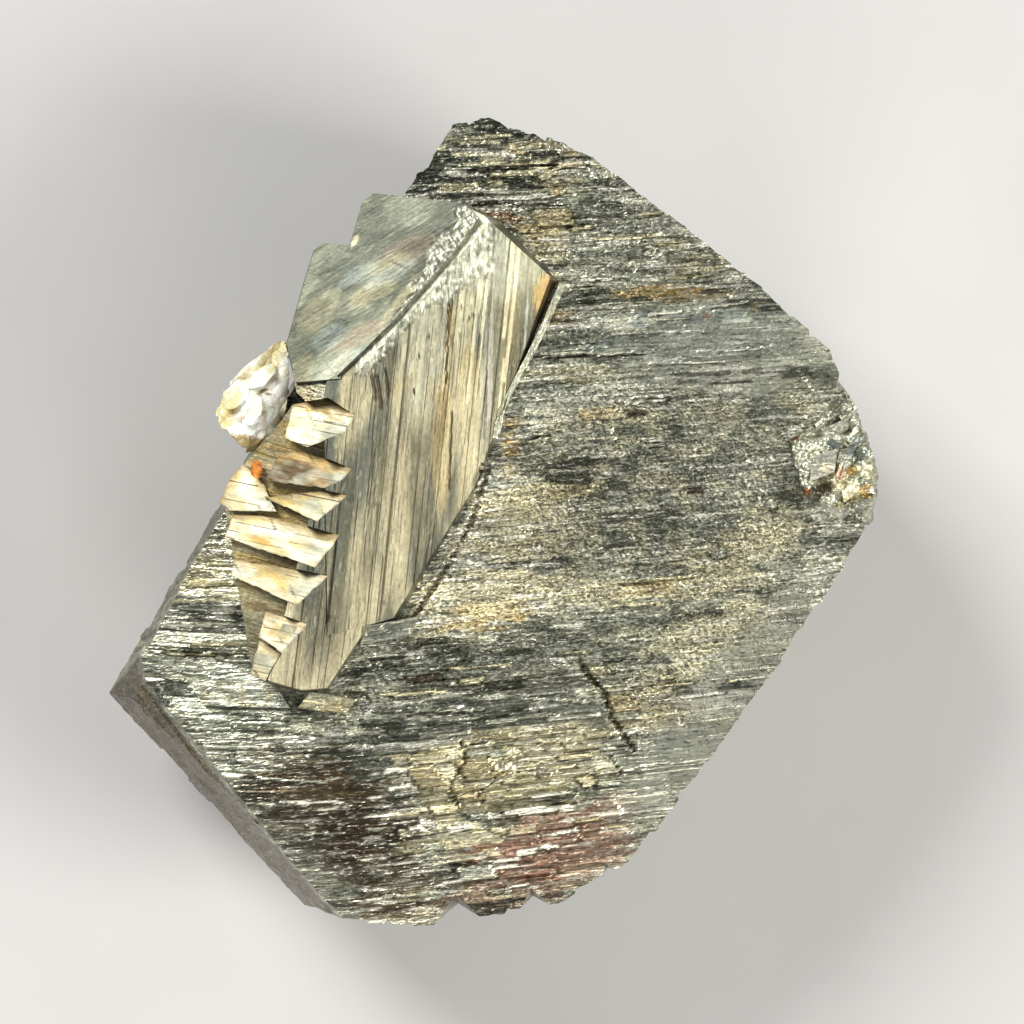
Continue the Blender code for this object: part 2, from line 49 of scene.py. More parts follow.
Array = np.ndarray
Field = Callable[[Array, Array], Array]
Span = tuple[float, float]
Place = tuple[float, float, float]
Outline = Sequence[Sequence[float]]
Piece = bpy.types.Object
Material = bpy.types.Material
Socket = bpy.types.NodeSocket


class Slot(Enum):
    """Names of the specimen's two materials."""
    METAL = "arsenopyrite"
    MICA = "mica"


class Tint(Enum):
    """Colours of the specimen, as bytes of display red, green and blue."""
    GRAPHITE = (58, 60, 50)
    SLATE = (98, 102, 90)
    STEEL = (142, 144, 124)
    SILVER = (186, 188, 168)
    BLUE = (138, 150, 146)
    OLIVE = (122, 120, 86)
    SAND = (186, 174, 134)
    CREAM = (224, 216, 176)
    GOLD = (200, 166, 88)
    BRONZE = (140, 114, 68)
    UMBER = (68, 54, 38)
    ROSE = (148, 112, 92)
    RUST = (158, 96, 50)
    WHITE = (236, 234, 214)
    BUFF = (204, 193, 154)
    STRAW = (228, 214, 150)
    HONEY = (172, 146, 74)
    PEARL = (250, 248, 236)

    def linear(self) -> Array:
        """The colour in linear light."""
        share = np.array(self.value, float) / 255.0
        return np.where(share <= 0.04045, share / 12.92, ((share + 0.055) / 1.055) ** 2.4)


(GRAPHITE, SLATE, STEEL, SILVER, BLUE, OLIVE, SAND, CREAM, GOLD, BRONZE,
 UMBER, ROSE, RUST, WHITE, BUFF, STRAW, HONEY, PEARL) = Tint


# ---- Repeatable noise ----

def dice(seed: int, *cells: Array) -> Array:
    """Repeatable random numbers from 0 to 1, one for each combination of whole numbers.

    Args:
        seed: picks the sequence.
        cells: whole numbers, as arrays of one shape.

    Returns:
        The numbers, in the cells' shape.
    """
    mixed = np.full(np.shape(cells[0]), (seed * 2654435761 + 97) % 2 ** 32, np.uint64)
    for cell in cells:
        mixed = mixed ^ np.asarray(cell).astype(np.int64).astype(np.uint64)
        mixed = mixed * np.uint64(0x9E3779B97F4A7C15)
        mixed = mixed ^ (mixed >> np.uint64(31))
        mixed = mixed * np.uint64(0xBF58476D1CE4E5B9)
        mixed = mixed ^ (mixed >> np.uint64(29))
    return (mixed >> np.uint64(11)).astype(float) / 2.0 ** 53


def smooth(value: Array, low: float = 0.0, high: float = 1.0) -> Array:
    """Ease a value from 0 at low to 1 at high."""
    share = np.clip((value - low) / (high - low), 0.0, 1.0)
    return share * share * (3.0 - 2.0 * share)


def cloud(x: Array, y: Array, seed: int, octaves: int = 3) -> Array:
    """Smooth noise whose largest cells are one unit wide.

    Args:
        x: first coordinate, in cells.
        y: second coordinate, in cells.
        seed: picks the pattern.
        octaves: number of finer and finer layers.

    Returns:
        Values from 0 to 1, mostly near 0.5.
    """
    total, weight, span = np.zeros(np.shape(x)), 0.0, 1.0
    for octave in range(octaves):
        i, j = np.floor(x / span), np.floor(y / span)
        a, b = smooth(x / span - i), smooth(y / span - j)
        lower = dice(seed + octave, i, j) * (1 - a) + dice(seed + octave, i + 1, j) * a
        upper = dice(seed + octave, i, j + 1) * (1 - a) + dice(seed + octave, i + 1, j + 1) * a
        total += (lower * (1 - b) + upper * b) * span
        weight += span
        span *= 0.5
    return total / weight


def spot(x: Array, y: Array, middle: Span, half: Span, edge: Span, fray: Array | float = 0.0) -> Array:
    """An oval area of a face, with a soft edge.

    Args:
        x, y: coordinates.
        middle: where its middle is.
        half: its half length and half width.
        edge: shares of its size between which it fades out.
        fray: how far its edge is frayed at each point.

    Returns:
        1 inside, falling to 0 outside.
    """
    far = np.hypot((x - middle[0]) / half[0], (y - middle[1]) / half[1])
    return 1.0 - smooth(far + fray, *edge)


def heading(degrees: float) -> Vector:
    """The level direction at an angle from +X."""
    return Vector((math.cos(math.radians(degrees)), math.sin(math.radians(degrees)), 0.0))


def turned(x: Array, y: Array, degrees: float) -> tuple[Array, Array]:
    """Coordinates along and across a heading.

    Args:
        x, y: coordinates.
        degrees: the heading, from +X.

    Returns:
        The two turned coordinates.
    """
    cosine, sine = math.cos(math.radians(degrees)), math.sin(math.radians(degrees))
    return x * cosine + y * sine, y * cosine - x * sine


# ---- Growth steps, ledges and tinted patches of the faces ----

@dataclass(frozen=True)
class Striae:
    """Parallel growth steps: bands across a face, broken into lengths with their own rise and tilt."""
    seed: int
    width: Span
    length: float
    rise: float
    tilt: float = 0.15
    skew: float = 0.6
    reach: float = 40.0

    def cells(self, u: Array, v: Array) -> tuple[Array, Array, Array]:
        """Find the step under each point.

        Args:
            u: millimetres along the bands.
            v: millimetres across them.

        Returns:
            Band number, length number, and distance from the middle of the band in millimetres.
        """
        number = int(2.4 * self.reach / self.width[0])
        edges = np.random.default_rng(self.seed).uniform(*self.width, number).cumsum() - self.reach
        band = np.clip(np.searchsorted(edges, v) - 1, 0, number - 2)
        offset = v - (edges[band] + edges[band + 1]) / 2
        along = (u + self.skew * offset) / self.length + 7.0 * dice(self.seed, band)
        piece = np.floor(along)
        start = piece + 0.8 * (dice(self.seed + 1, band, piece) - 0.5)
        end = piece + 1.0 + 0.8 * (dice(self.seed + 1, band, piece + 1) - 0.5)
        piece = np.where(along < start, piece - 1, np.where(along > end, piece + 1, piece))
        return band, piece, offset

    def height(self, u: Array, v: Array) -> Array:
        """Relief of the steps in millimetres.

        Args:
            u: places along the striations.
            v: places across them.

        Returns:
            The relief.
        """
        band, piece, offset = self.cells(u, v)
        level = 2.0 * dice(self.seed + 2, band, piece) - 1.0
        lean = 2.0 * dice(self.seed + 3, band, piece) - 1.0
        return self.rise * level * np.abs(level) ** 0.4 + self.tilt * lean * offset

    def tone(self, u: Array, v: Array) -> Array:
        """A shade from 0 to 1 for each step."""
        band, piece, _ = self.cells(u, v)
        return dice(self.seed + 4, band, piece)


@dataclass(frozen=True)
class Crumble:
    """A broken, grainy surface: small facets with their own height and tilt."""
    seed: int
    grain: float
    rise: float
    tilt: float
    swell: float = 0.0

    def height(self, x: Array, y: Array) -> Array:
        """Relief of the grains in millimetres; swollen grains meet in creases, the others in cliffs.

        Args:
            x, y: places on the surface.

        Returns:
            The relief.
        """
        i, j = np.floor(x / self.grain), np.floor(y / self.grain)
        nearest, best = np.full(np.shape(x), 9e9), np.full(np.shape(x), -9e9)
        for di in (-1, 0, 1):
            for dj in (-1, 0, 1):
                ci, cj = i + di, j + dj
                px = (ci + dice(self.seed, ci, cj)) * self.grain
                py = (cj + dice(self.seed + 1, ci, cj)) * self.grain
                gap = (x - px) ** 2 + (y - py) ** 2
                slope_x = self.tilt * (2 * dice(self.seed + 2, ci, cj) - 1)
                slope_y = self.tilt * (2 * dice(self.seed + 3, ci, cj) - 1)
                value = self.rise * (2 * dice(self.seed + 4, ci, cj) - 1)
                value = value + slope_x * (x - px) + slope_y * (y - py)
                value = value - self.swell / self.grain * gap
                closer = value > best if self.swell else gap < nearest
                best = np.where(closer, value, best)
                nearest = np.where(closer, gap, nearest)
        return best


@dataclass(frozen=True)
class Patch:
    """A soft-edged area of a face: centre, half length, half width, turn, tint and strength."""
    x: float
    y: float
    long: float
    wide: float
    turn: float
    tint: Tint
    strength: float

    def weight(self, x: Array, y: Array, fray: Array) -> Array:
        """How much of the patch's tint a point takes, with frayed edges.

        Args:
            x, y: plan positions.
            fray: how far its edge is frayed at each point.

        Returns:
            The share of its tint.
        """
        along, across = turned(x - self.x, y - self.y, self.turn)
        distance = np.hypot(along / self.long, across / self.wide) + fray
        return self.strength * (1.0 - smooth(distance, 0.75, 1.15))


@dataclass(frozen=True)
class Ledge:
    """A small rhombic ledge or pit: centre, length, width, turn, rise, tint, tilt and skew."""
    x: float
    y: float
    long: float
    wide: float
    turn: float
    rise: float
    tint: Tint
    tilt: float = 0.0
    skew: float = 0.55
    strength: float = 0.85

    def inside(self, x: Array, y: Array) -> tuple[Array, Array]:
        """The numbers of the points on the ledge, and how far each is from its middle line.

        Args:
            x, y: plan positions.

        Returns:
            The points' numbers and their distances.
        """
        reach = 0.6 * (self.long + self.wide) + 0.2
        near = np.flatnonzero((np.abs(x - self.x) < reach) & (np.abs(y - self.y) < reach))
        along, across = turned(x[near] - self.x, y[near] - self.y, self.turn)
        ragged = 0.16 * (cloud(along * 2.2 + 9.0, across * 2.2, 71, 2) - 0.5)
        on = np.abs(along + self.skew * across) < self.long / 2 + ragged
        on &= np.abs(across + 0.3 * ragged) < self.wide / 2
        return near[on], across[on]


@dataclass(frozen=True)
class Crack:
    """A dark line along a path: its points, width and depth."""
    path: tuple[Span, ...]
    width: float
    depth: float

    def weight(self, x: Array, y: Array) -> Array:
        """1 on the line, falling to 0 at its edges.

        Args:
            x, y: plan positions.

        Returns:
            The share of its darkness.
        """
        best = np.zeros(np.shape(x))
        wander = 0.25 * self.width * (cloud(x * 2.0, y * 2.0, 83, 2) - 0.5)
        for (ax, ay), (bx, by) in zip(self.path, self.path[1:]):
            dx, dy = bx - ax, by - ay
            share = np.clip(((x - ax) * dx + (y - ay) * dy) / (dx * dx + dy * dy), 0.0, 1.0)
            away = np.hypot(x - ax - share * dx, y - ay - share * dy) + wander
            best = np.maximum(best, 1.0 - smooth(away, 0.3 * self.width, 0.62 * self.width))
        return best


# ---- Modelling tools ----

@dataclass(frozen=True)
class Face:
    """A flat face: a point on it, and the way that it looks."""
    point: Vector
    normal: Vector

    def moved(self, distance: float) -> "Face":
        """The same face moved outwards."""
        return Face(self.point + self.normal * distance, self.normal)

    def frame(self, along: Vector) -> Matrix:
        """Axes with X along the striations, Y across them and Z out of the face.

        Args:
            along: rough direction of the striations.

        Returns:
            The axes.
        """
        out = self.normal.normalized()
        run = (along - out * along.dot(out)).normalized()
        axes = Matrix((run, out.cross(run), out)).transposed().to_4x4()
        centre = out * self.point.dot(out)
        return Matrix.Translation(centre) @ axes


def wall(start: Sequence[float], end: Sequence[float], height: float, lean: float) -> Face:
    """Side face through a line, outside to its right.

    Args:
        start: plan position of the line's start.
        end: plan position of its end.
        height: height of the line.
        lean: degrees; a positive lean spreads the wall downwards.

    Returns:
        The face.
    """
    outward = Vector((end[1] - start[1], start[0] - end[0], 0.0)).normalized()
    tilt = math.radians(lean)
    return Face(Vector((*start[:2], height)), outward * math.cos(tilt) + Vector((0, 0, math.sin(tilt))))


def walls(outline: Outline, height: float, leans: Sequence[float]) -> list[Face]:
    """Side faces round a counter-clockwise outline."""
    ends = list(outline[1:]) + list(outline[:1])
    return [wall(a, b, height, lean) for a, b, lean in zip(outline, ends, leans)]


def sheet(height: float, dx: float, dy: float, drop: float = 0.0) -> Face:
    """The upward face z = height + x * dx + y * dy, set lower by drop."""
    return Face(Vector((0, 0, height - drop)), Vector((-dx, -dy, 1)).normalized())


def under(height: float, dx: float = 0.0, dy: float = 0.0) -> Face:
    """The downward face z = height + x * dx + y * dy."""
    return Face(Vector((0, 0, height)), Vector((dx, dy, -1)).normalized())


def rhomb_plan(x: float, y: float, long: float, wide: float, turn: float,
               skew: float) -> list[Span]:
    """Corners of a rhomb, counter-clockwise: its middle, length, width, turn and inner angle.

    Args:
        x, y: its middle.
        long: its length.
        wide: its width.
        turn: heading of its length.
        skew: its inner angle.

    Returns:
        The four corners.
    """
    along, across = heading(turn) * (long / 2), heading(turn + skew) * (wide / 2)
    signs = ((-1, -1), (1, -1), (1, 1), (-1, 1))
    return [(x + a * along.x + b * across.x, y + a * along.y + b * across.y) for a, b in signs]


def face_through(points: Outline, facing: Sequence[float]) -> Face:
    """The face through three points that looks roughly along facing.

    Args:
        points: the points.
        facing: the way that it looks.

    Returns:
        The face.
    """
    a, b, c = (Vector(point) for point in points)
    normal = (b - a).cross(c - a).normalized()
    return Face(a, normal if normal.dot(Vector(facing)) > 0 else -normal)


def only(piece: Piece) -> None:
    """Make one object the selected and active one.

    Args:
        piece: the object.
    """
    bpy.ops.object.select_all(action="DESELECT")
    piece.select_set(True)
    bpy.context.view_layer.objects.active = piece


def places_of(piece: Piece) -> Array:
    """Positions of a piece's points, one in each row.

    Args:
        piece: the piece.

    Returns:
        The positions.
    """
    places = np.empty(3 * len(piece.data.vertices), np.float32)
    piece.data.vertices.foreach_get("co", places)
    return places.reshape(-1, 3).astype(float)


def move_points(piece: Piece, places: Array) -> None:
    """Put a piece's points at new positions."""
    piece.data.vertices.foreach_set("co", places.astype(np.float32).ravel())
    piece.data.update()


def close_mesh() -> None:
    """Turn the faces of the mesh in edit mode outwards and leave edit mode."""
    bpy.ops.mesh.select_all(action="SELECT")
    bpy.ops.mesh.normals_make_consistent(inside=False)
    bpy.ops.object.mode_set(mode="OBJECT")


def cut_block(name: str, faces: Sequence[Face], size: float = 2 * FAR) -> Piece:
    """Saw a convex crystal out of a cube along its faces.

    Args:
        name: name of the piece.
        faces: the faces, looking outwards.
        size: edge of the cube.

    Returns:
        The crystal.
    """
    bpy.ops.object.select_all(action="DESELECT")
    bpy.ops.mesh.primitive_cube_add(size=size)
    piece = bpy.context.object
    piece.name = name
    bpy.ops.object.mode_set(mode="EDIT")
    for face in faces:
        bpy.ops.mesh.select_all(action="SELECT")
        bpy.ops.mesh.bisect(plane_co=face.point, plane_no=face.normal, use_fill=True, clear_outer=True)
    close_mesh()
    return piece


def combine(piece: Piece, tool: Piece, operation: str) -> Piece:
    """Cut a tool out of a piece, keep what they share, or join them.

    Args:
        piece: the piece that stays.
        tool: the tool, which is removed afterwards.
        operation: DIFFERENCE, INTERSECT or UNION.

    Returns:
        The piece.
    """
    step = piece.modifiers.new("combine", "BOOLEAN")
    step.operation = operation
    step.solver = "MANIFOLD"
    step.object = tool
    only(piece)
    bpy.ops.object.modifier_apply(modifier=step.name)
    bpy.data.objects.remove(tool, do_unlink=True)
    return piece


@dataclass(frozen=True)
class Relief:
    """One face of a crystal with its relief, made as a closed block that a crystal is cut to."""
    face: Face
    along: Vector
    u_range: Span
    v_range: Span
    spacing: Span
    height: Field
    warp: Callable[[Array, Array], tuple[Array, Array]] | None = None

    def block(self) -> Piece:
        """Build the block: a grid laid on the face, lifted by the relief and drawn out backwards."""
        values = [np.arange(low, high + step, step) for (low, high), step
                  in ((self.u_range, self.spacing[0]), (self.v_range, self.spacing[1]))]
        columns, rows = (np.concatenate(([-FAR], steps, [FAR])) for steps in values)
        bpy.ops.object.select_all(action="DESELECT")
        bpy.ops.mesh.primitive_grid_add(
            x_subdivisions=len(columns) - 1, y_subdivisions=len(rows) - 1, size=1.0)
        block = bpy.context.object
        place = places_of(block)
        column = np.rint((place[:, 0] + 0.5) * (len(columns) - 1)).astype(int)
        row = np.rint((place[:, 1] + 0.5) * (len(rows) - 1)).astype(int)
        u, v = columns[column], rows[row]
        rim = (column == 0) | (row == 0) | (column == len(columns) - 1) | (row == len(rows) - 1)
        x, y = self.warp(u, v) if self.warp else (u, v)
        lift = np.where(rim, 0.0, self.height(u, v))
        move_points(block, np.stack((x, y, lift), axis=1))
        self.draw_out(block)
        block.data.transform(self.face.frame(self.along))
        return block

    def draw_out(self, block: Piece) -> None:
        """Give the lifted grid straight sides and a flat bottom.

        Args:
            block: the grid.
        """
        only(block)
        bpy.ops.object.mode_set(mode="EDIT")
        bpy.ops.mesh.select_mode(type="EDGE")
        bpy.ops.mesh.select_all(action="DESELECT")
        bpy.ops.mesh.select_non_manifold(
            extend=False, use_wire=False, use_boundary=True, use_multi_face=False,
            use_non_contiguous=False, use_verts=False)
        bpy.ops.mesh.extrude_edges_move(TRANSFORM_OT_translate={"value": (0, 0, -FAR)})
        bpy.ops.mesh.edge_face_add()
        close_mesh()


def relief_round(face: Face, along: Vector, point: Vector, u: Span, v: Span, spacing: Span,
                 height: Field) -> Relief:
    """Relief of a face round one of its points.

    Args:
        face: the face.
        along: direction of the striations.
        point: the point.
        u: how far the relief goes from there along the striations, both ways.
        v: how far it goes across them.
        spacing: distances between its points.
        height: its height.

    Returns:
        The relief.
    """
    middle = face.frame(along).inverted() @ point
    return Relief(face, along, (middle.x + u[0], middle.x + u[1]), (middle.y + v[0], middle.y + v[1]),
                  spacing, height)


def relief_over(face: Face, along: Vector, plan: Outline, spacing: Span,
                height: Field) -> Relief:
    """Relief of a face that looks up, over a plan and a little beyond.

    Args:
        face: the face.
        along: direction of the striations.
        plan: plan points that the face covers.
        spacing: distances between the relief's points.
        height: its height.

    Returns:
        The relief.
    """
    out, margin = face.normal, 0.8
    undo = face.frame(along).inverted()
    places = []
    for x, y in plan:
        z = face.point.z - ((x - face.point.x) * out.x + (y - face.point.y) * out.y) / out.z
        places.append(undo @ Vector((x, y, z)))
    u, v = [place.x for place in places], [place.y for place in places]
    return Relief(face, along, (min(u) - margin, max(u) + margin), (min(v) - margin, max(v) + margin),
                  spacing, height)


def without_crumbs(piece: Piece) -> Piece:
    """Drop the loose crumbs that cutting left beside a piece.

    Args:
        piece: the piece.

    Returns:
        Its largest connected part, under the same name.
    """
    name = piece.name
    only(piece)
    bpy.ops.object.mode_set(mode="EDIT")
    bpy.ops.mesh.separate(type="LOOSE")
    bpy.ops.object.mode_set(mode="OBJECT")
    parts = sorted(bpy.context.selected_objects, key=lambda part: len(part.data.polygons))
    for crumb in parts[:-1]:
        bpy.data.objects.remove(crumb, do_unlink=True)
    parts[-1].name = name
    return parts[-1]


def cut_crystal(name: str, faces: Sequence[Face], reliefs: Sequence[Relief]) -> Piece:
    """Cut a crystal that has plain faces and faces with relief.

    Args:
        name: name of the piece.
        faces: its plain faces.
        reliefs: its other faces.

    Returns:
        The crystal.
    """
    rough = [relief.face.moved(1.2) for relief in reliefs]
    piece = cut_block(name, list(faces) + rough)
    for relief in reliefs:
        combine(piece, relief.block(), "INTERSECT")
    return piece


@dataclass
class Paint:
    """Colour and surface values at the points of a piece."""
    points: Array
    normals: Array
    colour: Array = field(init=False)
    values: dict[str, Array] = field(default_factory=dict)

    def __post_init__(self) -> None:
        """Start from bare steel."""
        self.colour = np.tile(STEEL.linear(), (len(self.points), 1))

    def blend(self, tint: Tint, weight: Array | float) -> None:
        """Lay a tint over the colour."""
        share = np.reshape(np.clip(weight, 0.0, 1.0), (-1, 1))
        self.colour = self.colour * (1 - share) + tint.linear() * share

    def clouds(self, tint: Tint, weight: Array | float, u: Array, v: Array, seed: int, edge: Span) -> None:
        """Lay a tint over the colour in clouds.

        Args:
            tint: the tint.
            weight: its strength.
            u: first coordinate, in cells of the clouds.
            v: second coordinate, in cells.
            seed: picks the clouds.
            edge: values of the noise between which the tint comes in.
        """
        self.blend(tint, weight * smooth(cloud(u, v, seed), *edge))

    def patches(self, rows: Sequence[tuple], fray: Array, share: Array | float = 1.0) -> None:
        """Lay soft-edged patches over the colour.

        Args:
            rows: the fields of each patch.
            fray: how far their edges are frayed at each point.
            share: strength of all of them.
        """
        for patch in (Patch(*row) for row in rows):
            self.blend(patch.tint, patch.weight(self.points[:, 0], self.points[:, 1], fray) * share)

    def ledges(self, ledges: Sequence[Ledge], share: Array) -> None:
        """Tint the ledges and pits, the ledges with a dark line along their shaded foot.

        Args:
            ledges: the ledges, in the order in which they lie on one another.
            share: strength of the tints at each point.
        """
        for ledge in ledges:
            shadow = replace(ledge, y=ledge.y - 0.07, long=ledge.long + 0.12, wide=ledge.wide + 0.06,
                             tint=GRAPHITE, strength=0.75)
            for layer in (shadow, ledge) if ledge.rise > 0 else (ledge,):
                inside, _ = layer.inside(self.points[:, 0], self.points[:, 1])
                weight = (layer.strength * share[inside])[:, None]
                self.colour[inside] = self.colour[inside] * (1 - weight) + layer.tint.linear() * weight

    def cracks(self, cracks: Sequence[Crack], share: Array) -> None:
        """Darken the cracks, and the painted shadow line that is given with them."""
        for crack in cracks:
            self.blend(UMBER, 0.9 * crack.weight(self.points[:, 0], self.points[:, 1]) * share)

    def along_wall(self) -> Array:
        """Level distance along an upright face at each point."""
        level = np.hypot(self.normals[:, 0], self.normals[:, 1]) + 1e-6
        return (self.points[:, 1] * self.normals[:, 0] - self.points[:, 0] * self.normals[:, 1]) / level

    def shade(self, factor: Array) -> None:
        """Darken or lighten the colour."""
        self.colour = np.clip(self.colour * factor[:, None], 0.0, 0.95)

    def put(self, piece: Piece) -> None:
        """Write the colour and the values onto the piece's points.

        Args:
            piece: the piece.
        """
        colour = piece.data.attributes.new("patina", "FLOAT_COLOR", "POINT")
        rgba = np.concatenate((self.colour, np.ones((len(self.colour), 1))), axis=1)
        colour.data.foreach_set("color", rgba.astype(np.float32).ravel())
        self.values["upright"] = smooth(np.abs(self.normals[:, 2]), 0.62, 0.42)
        self.values.setdefault("calm", np.zeros(len(self.points)))
        for name, value in self.values.items():
            layer = piece.data.attributes.new(name, "FLOAT", "POINT")
            layer.data.foreach_set("value", (value + np.zeros(len(self.points))).astype(np.float32))


def paint_of(piece: Piece) -> Paint:
    """Start the paint of a piece from its points and normals, in millimetres.

    Args:
        piece: the piece.

    Returns:
        Its paint.
    """
    normals = np.empty(3 * len(piece.data.vertices), np.float32)
    piece.data.vertex_normals.foreach_get("vector", normals)
    return Paint(places_of(piece), normals.reshape(-1, 3).astype(float))


def finish(piece: Piece, material: Material,
           stands_for: Sequence[str] = ()) -> Piece:
    """Turn a piece into metres, give it its material and tie it to the specimen.

    Args:
        piece: the piece, in millimetres.
        material: its material.
        stands_for: CAD nodes that it takes the place of.

    Returns:
        The piece.
    """
    piece.data.transform(Matrix.Scale(METRES, 4))
    piece.data.materials.clear()
    piece.data.materials.append(material)
    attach(piece, "root")
    if stands_for:
        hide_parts(*stands_for)
    log.info("%s: %d faces", piece.name, len(piece.data.polygons))
    return piece


# ---- Finishes ----

class Recipe:
    """Lays out a material's nodes."""

    def __init__(self, name: str) -> None:
        """Start an empty material with its shader and a coordinate node.

        Args:
            name: name of the material.
        """
        self.material = bpy.data.materials.new(name)
        self.material.use_nodes = True
        self.tree = self.material.node_tree
        self.shader = self.tree.nodes["Principled BSDF"]
        self.place = self.tree.nodes.new("ShaderNodeTexCoord").outputs["Object"]

    def node(self, kind: str, inputs: dict, **settings: object) -> bpy.types.Node:
        """Add a node.

        Args:
            kind: node type, without its "ShaderNode" prefix.
            inputs: values or sockets for its inputs, by name or number.
            settings: its other properties.

        Returns:
            The node.
        """
        made = self.tree.nodes.new("ShaderNode" + kind)
        for name, value in settings.items():
            setattr(made, name, value)
        for name, value in inputs.items():
            if isinstance(value, Socket):
                self.tree.links.new(value, made.inputs[name])
            else:
                made.inputs[name].default_value = value
        return made

    def layer(self, name: str, output: str = "Fac") -> Socket:
        """Read one of the piece's own layers."""
        return self.node("Attribute", {}, attribute_name=name).outputs[output]

    def noise(self, per_mm: Place, turn: Place,
              detail: float = 3.0, rough: float = 0.6, warp: float = 0.0) -> Socket:
        """Noise stretched along one direction.

        Args:
            per_mm: cells in a millimetre along each axis.
            turn: degrees that the pattern is turned about each axis.
            detail: number of finer layers.
            rough: strength of the finer layers.
            warp: how far the pattern is bent.

        Returns:
            The noise's value socket.
        """
        undo = tuple(math.radians(-angle) for angle in turn)
        at = self.node("Mapping", {"Vector": self.place, "Rotation": undo}).outputs["Vector"]
        scale = tuple(share / METRES for share in per_mm)
        at = self.node("Mapping", {"Vector": at, "Scale": scale}).outputs["Vector"]
        noise = self.node("TexNoise", {"Vector": at, "Scale": 1.0, "Detail": detail,
                                       "Roughness": rough, "Distortion": warp})
        return noise.outputs["Fac"]

    def between(self, share: object, first: object, second: object) -> Socket:
        """Go from one value to another."""
        return self.node("Mix", {0: share, 2: first, 3: second}).outputs[0]

    def spread(self, value: Socket, low: float, high: float,
               to_low: float = 0.0, to_high: float = 1.0) -> Socket:
        """Stretch a value from one range to another."""
        return self.node("MapRange", {"Value": value, "From Min": low, "From Max": high,
                                      "To Min": to_low, "To Max": to_high}).outputs["Result"]

    def times(self, first: object, second: object) -> Socket:
        """Multiply two values."""
        return self.node("Math", {0: first, 1: second}, operation="MULTIPLY").outputs[0]

    def plus(self, first: object, second: object) -> Socket:
        """Add two values."""
        return self.node("Math", {0: first, 1: second}, operation="ADD").outputs[0]

    def mix(self, share: object, first: object, second: object) -> Socket:
        """Mix two colours."""
        return self.node("Mix", {0: share, 6: first, 7: second}, data_type="RGBA").outputs[2]

    def scaled(self, colour: Socket, shade: Socket) -> Socket:
        """Darken or lighten a colour."""
        return self.node("VectorMath", {0: colour, "Scale": shade}, operation="SCALE").outputs[0]

    def bump(self, height: Socket, strength: Socket | float, distance: float) -> Socket:
        """Normals of a rough surface."""
        return self.node("Bump", {"Height": height, "Strength": strength, "Distance": distance}).outputs[0]

    def set(self, **inputs: object) -> None:
        """Set or link the shader's own inputs; underscores stand for spaces."""
        for name, value in inputs.items():
            socket = self.shader.inputs[name.replace("_", " ")]
            if isinstance(value, Socket):
                self.tree.links.new(value, socket)
            else:
                socket.default_value = value


def rgba(tint: Tint) -> tuple[float, float, float, float]:
    """A tint as a colour input takes it."""
    return (*tint.linear(), 1.0)


@dataclass(frozen=True)
class MetalFinish:
    """Satin arsenopyrite: fine grain and lines along the striations, flecks, and a patchy patina."""
    name: str
    turn: float
    line_strength: float = 0.65
    grain_strength: float = 0.85
    fleck: float = 0.75
    roughness: Span = (0.28, 0.46)
    bump: float = 0.8
    metallic: float = 0.85
    fineness: float = 1.0

    def material(self) -> Material:
        """Lay out the material's nodes."""
        recipe = Recipe(self.name)
        fine, turn = self.fineness, (0.0, 0.0, self.turn)
        upright, calm, speckled = (recipe.layer(name) for name in ("upright", "calm", "etched"))
        lines = recipe.noise((0.5 * fine, 6.5 * fine, 3.0), turn, 2.0, 0.6, 0.2)
        lines = recipe.between(upright, lines, recipe.noise((4.0, 4.0, 0.4), (4, 3, 0), 2.0, 0.6, 0.2))
        grain = recipe.noise((5.5 * fine, 8.5 * fine, 7.0 * fine), turn, 1.0, 0.6, 0.3)
        fleck = recipe.noise((2.2 * fine, 8.0 * fine, 6.0), turn, 1.5, 0.6, 0.4)
        needles = recipe.noise((3.0, 8.0, 6.0), (0, 0, self.turn - 58.0), 1.0, 0.6, 1.0)
        mottle = recipe.noise((0.35, 1.3, 0.6), turn, 4.0, 0.6, 0.5)
        line, dot = self.line_strength, self.grain_strength
        shade = recipe.spread(lines, 0.32, 0.68, 1.0 - line, 1.0 + line)
        shade = recipe.between(recipe.times(speckled, 0.75), shade, 1.0)
        shade = recipe.times(shade, recipe.spread(grain, 0.34, 0.66, 1.0 - dot, 1.0 + dot))
        shade = recipe.between(calm, shade, 1.0)
        shade = recipe.times(shade, recipe.spread(mottle, 0.3, 0.7, 0.86, 1.12))
        scaled = recipe.scaled(recipe.layer("patina", "Color"), shade)
        etched = recipe.times(speckled, recipe.spread(needles, 0.5, 0.62))
        bright = recipe.times(recipe.layer("sparkle"), recipe.spread(fleck, 0.58, 0.66))
        dark = recipe.times(recipe.layer("pitted"), recipe.spread(fleck, 0.42, 0.33))
        toned = recipe.mix(recipe.times(etched, 0.7), scaled, rgba(GRAPHITE))
        toned = recipe.mix(recipe.times(dark, 0.8), toned, rgba(GRAPHITE))
        toned = recipe.mix(recipe.times(bright, self.fleck), toned, rgba(WHITE))
        low, high = self.roughness
        rough = recipe.spread(mottle, 0.3, 0.7, low, high)
        rough = recipe.plus(rough, recipe.spread(bright, 0.0, 1.0, 0.0, -0.1))
        relief = recipe.plus(lines, recipe.times(grain, 0.55))
        relief = recipe.plus(relief, recipe.times(fleck, 0.5))
        relief = recipe.plus(relief, recipe.times(etched, -0.4))
        strength = recipe.spread(calm, 0.0, 1.0, self.bump, 0.25 * self.bump)
        recipe.set(Base_Color=toned, Roughness=rough, Metallic=self.metallic,
                   Normal=recipe.bump(relief, strength, 0.00009))
        return recipe.material


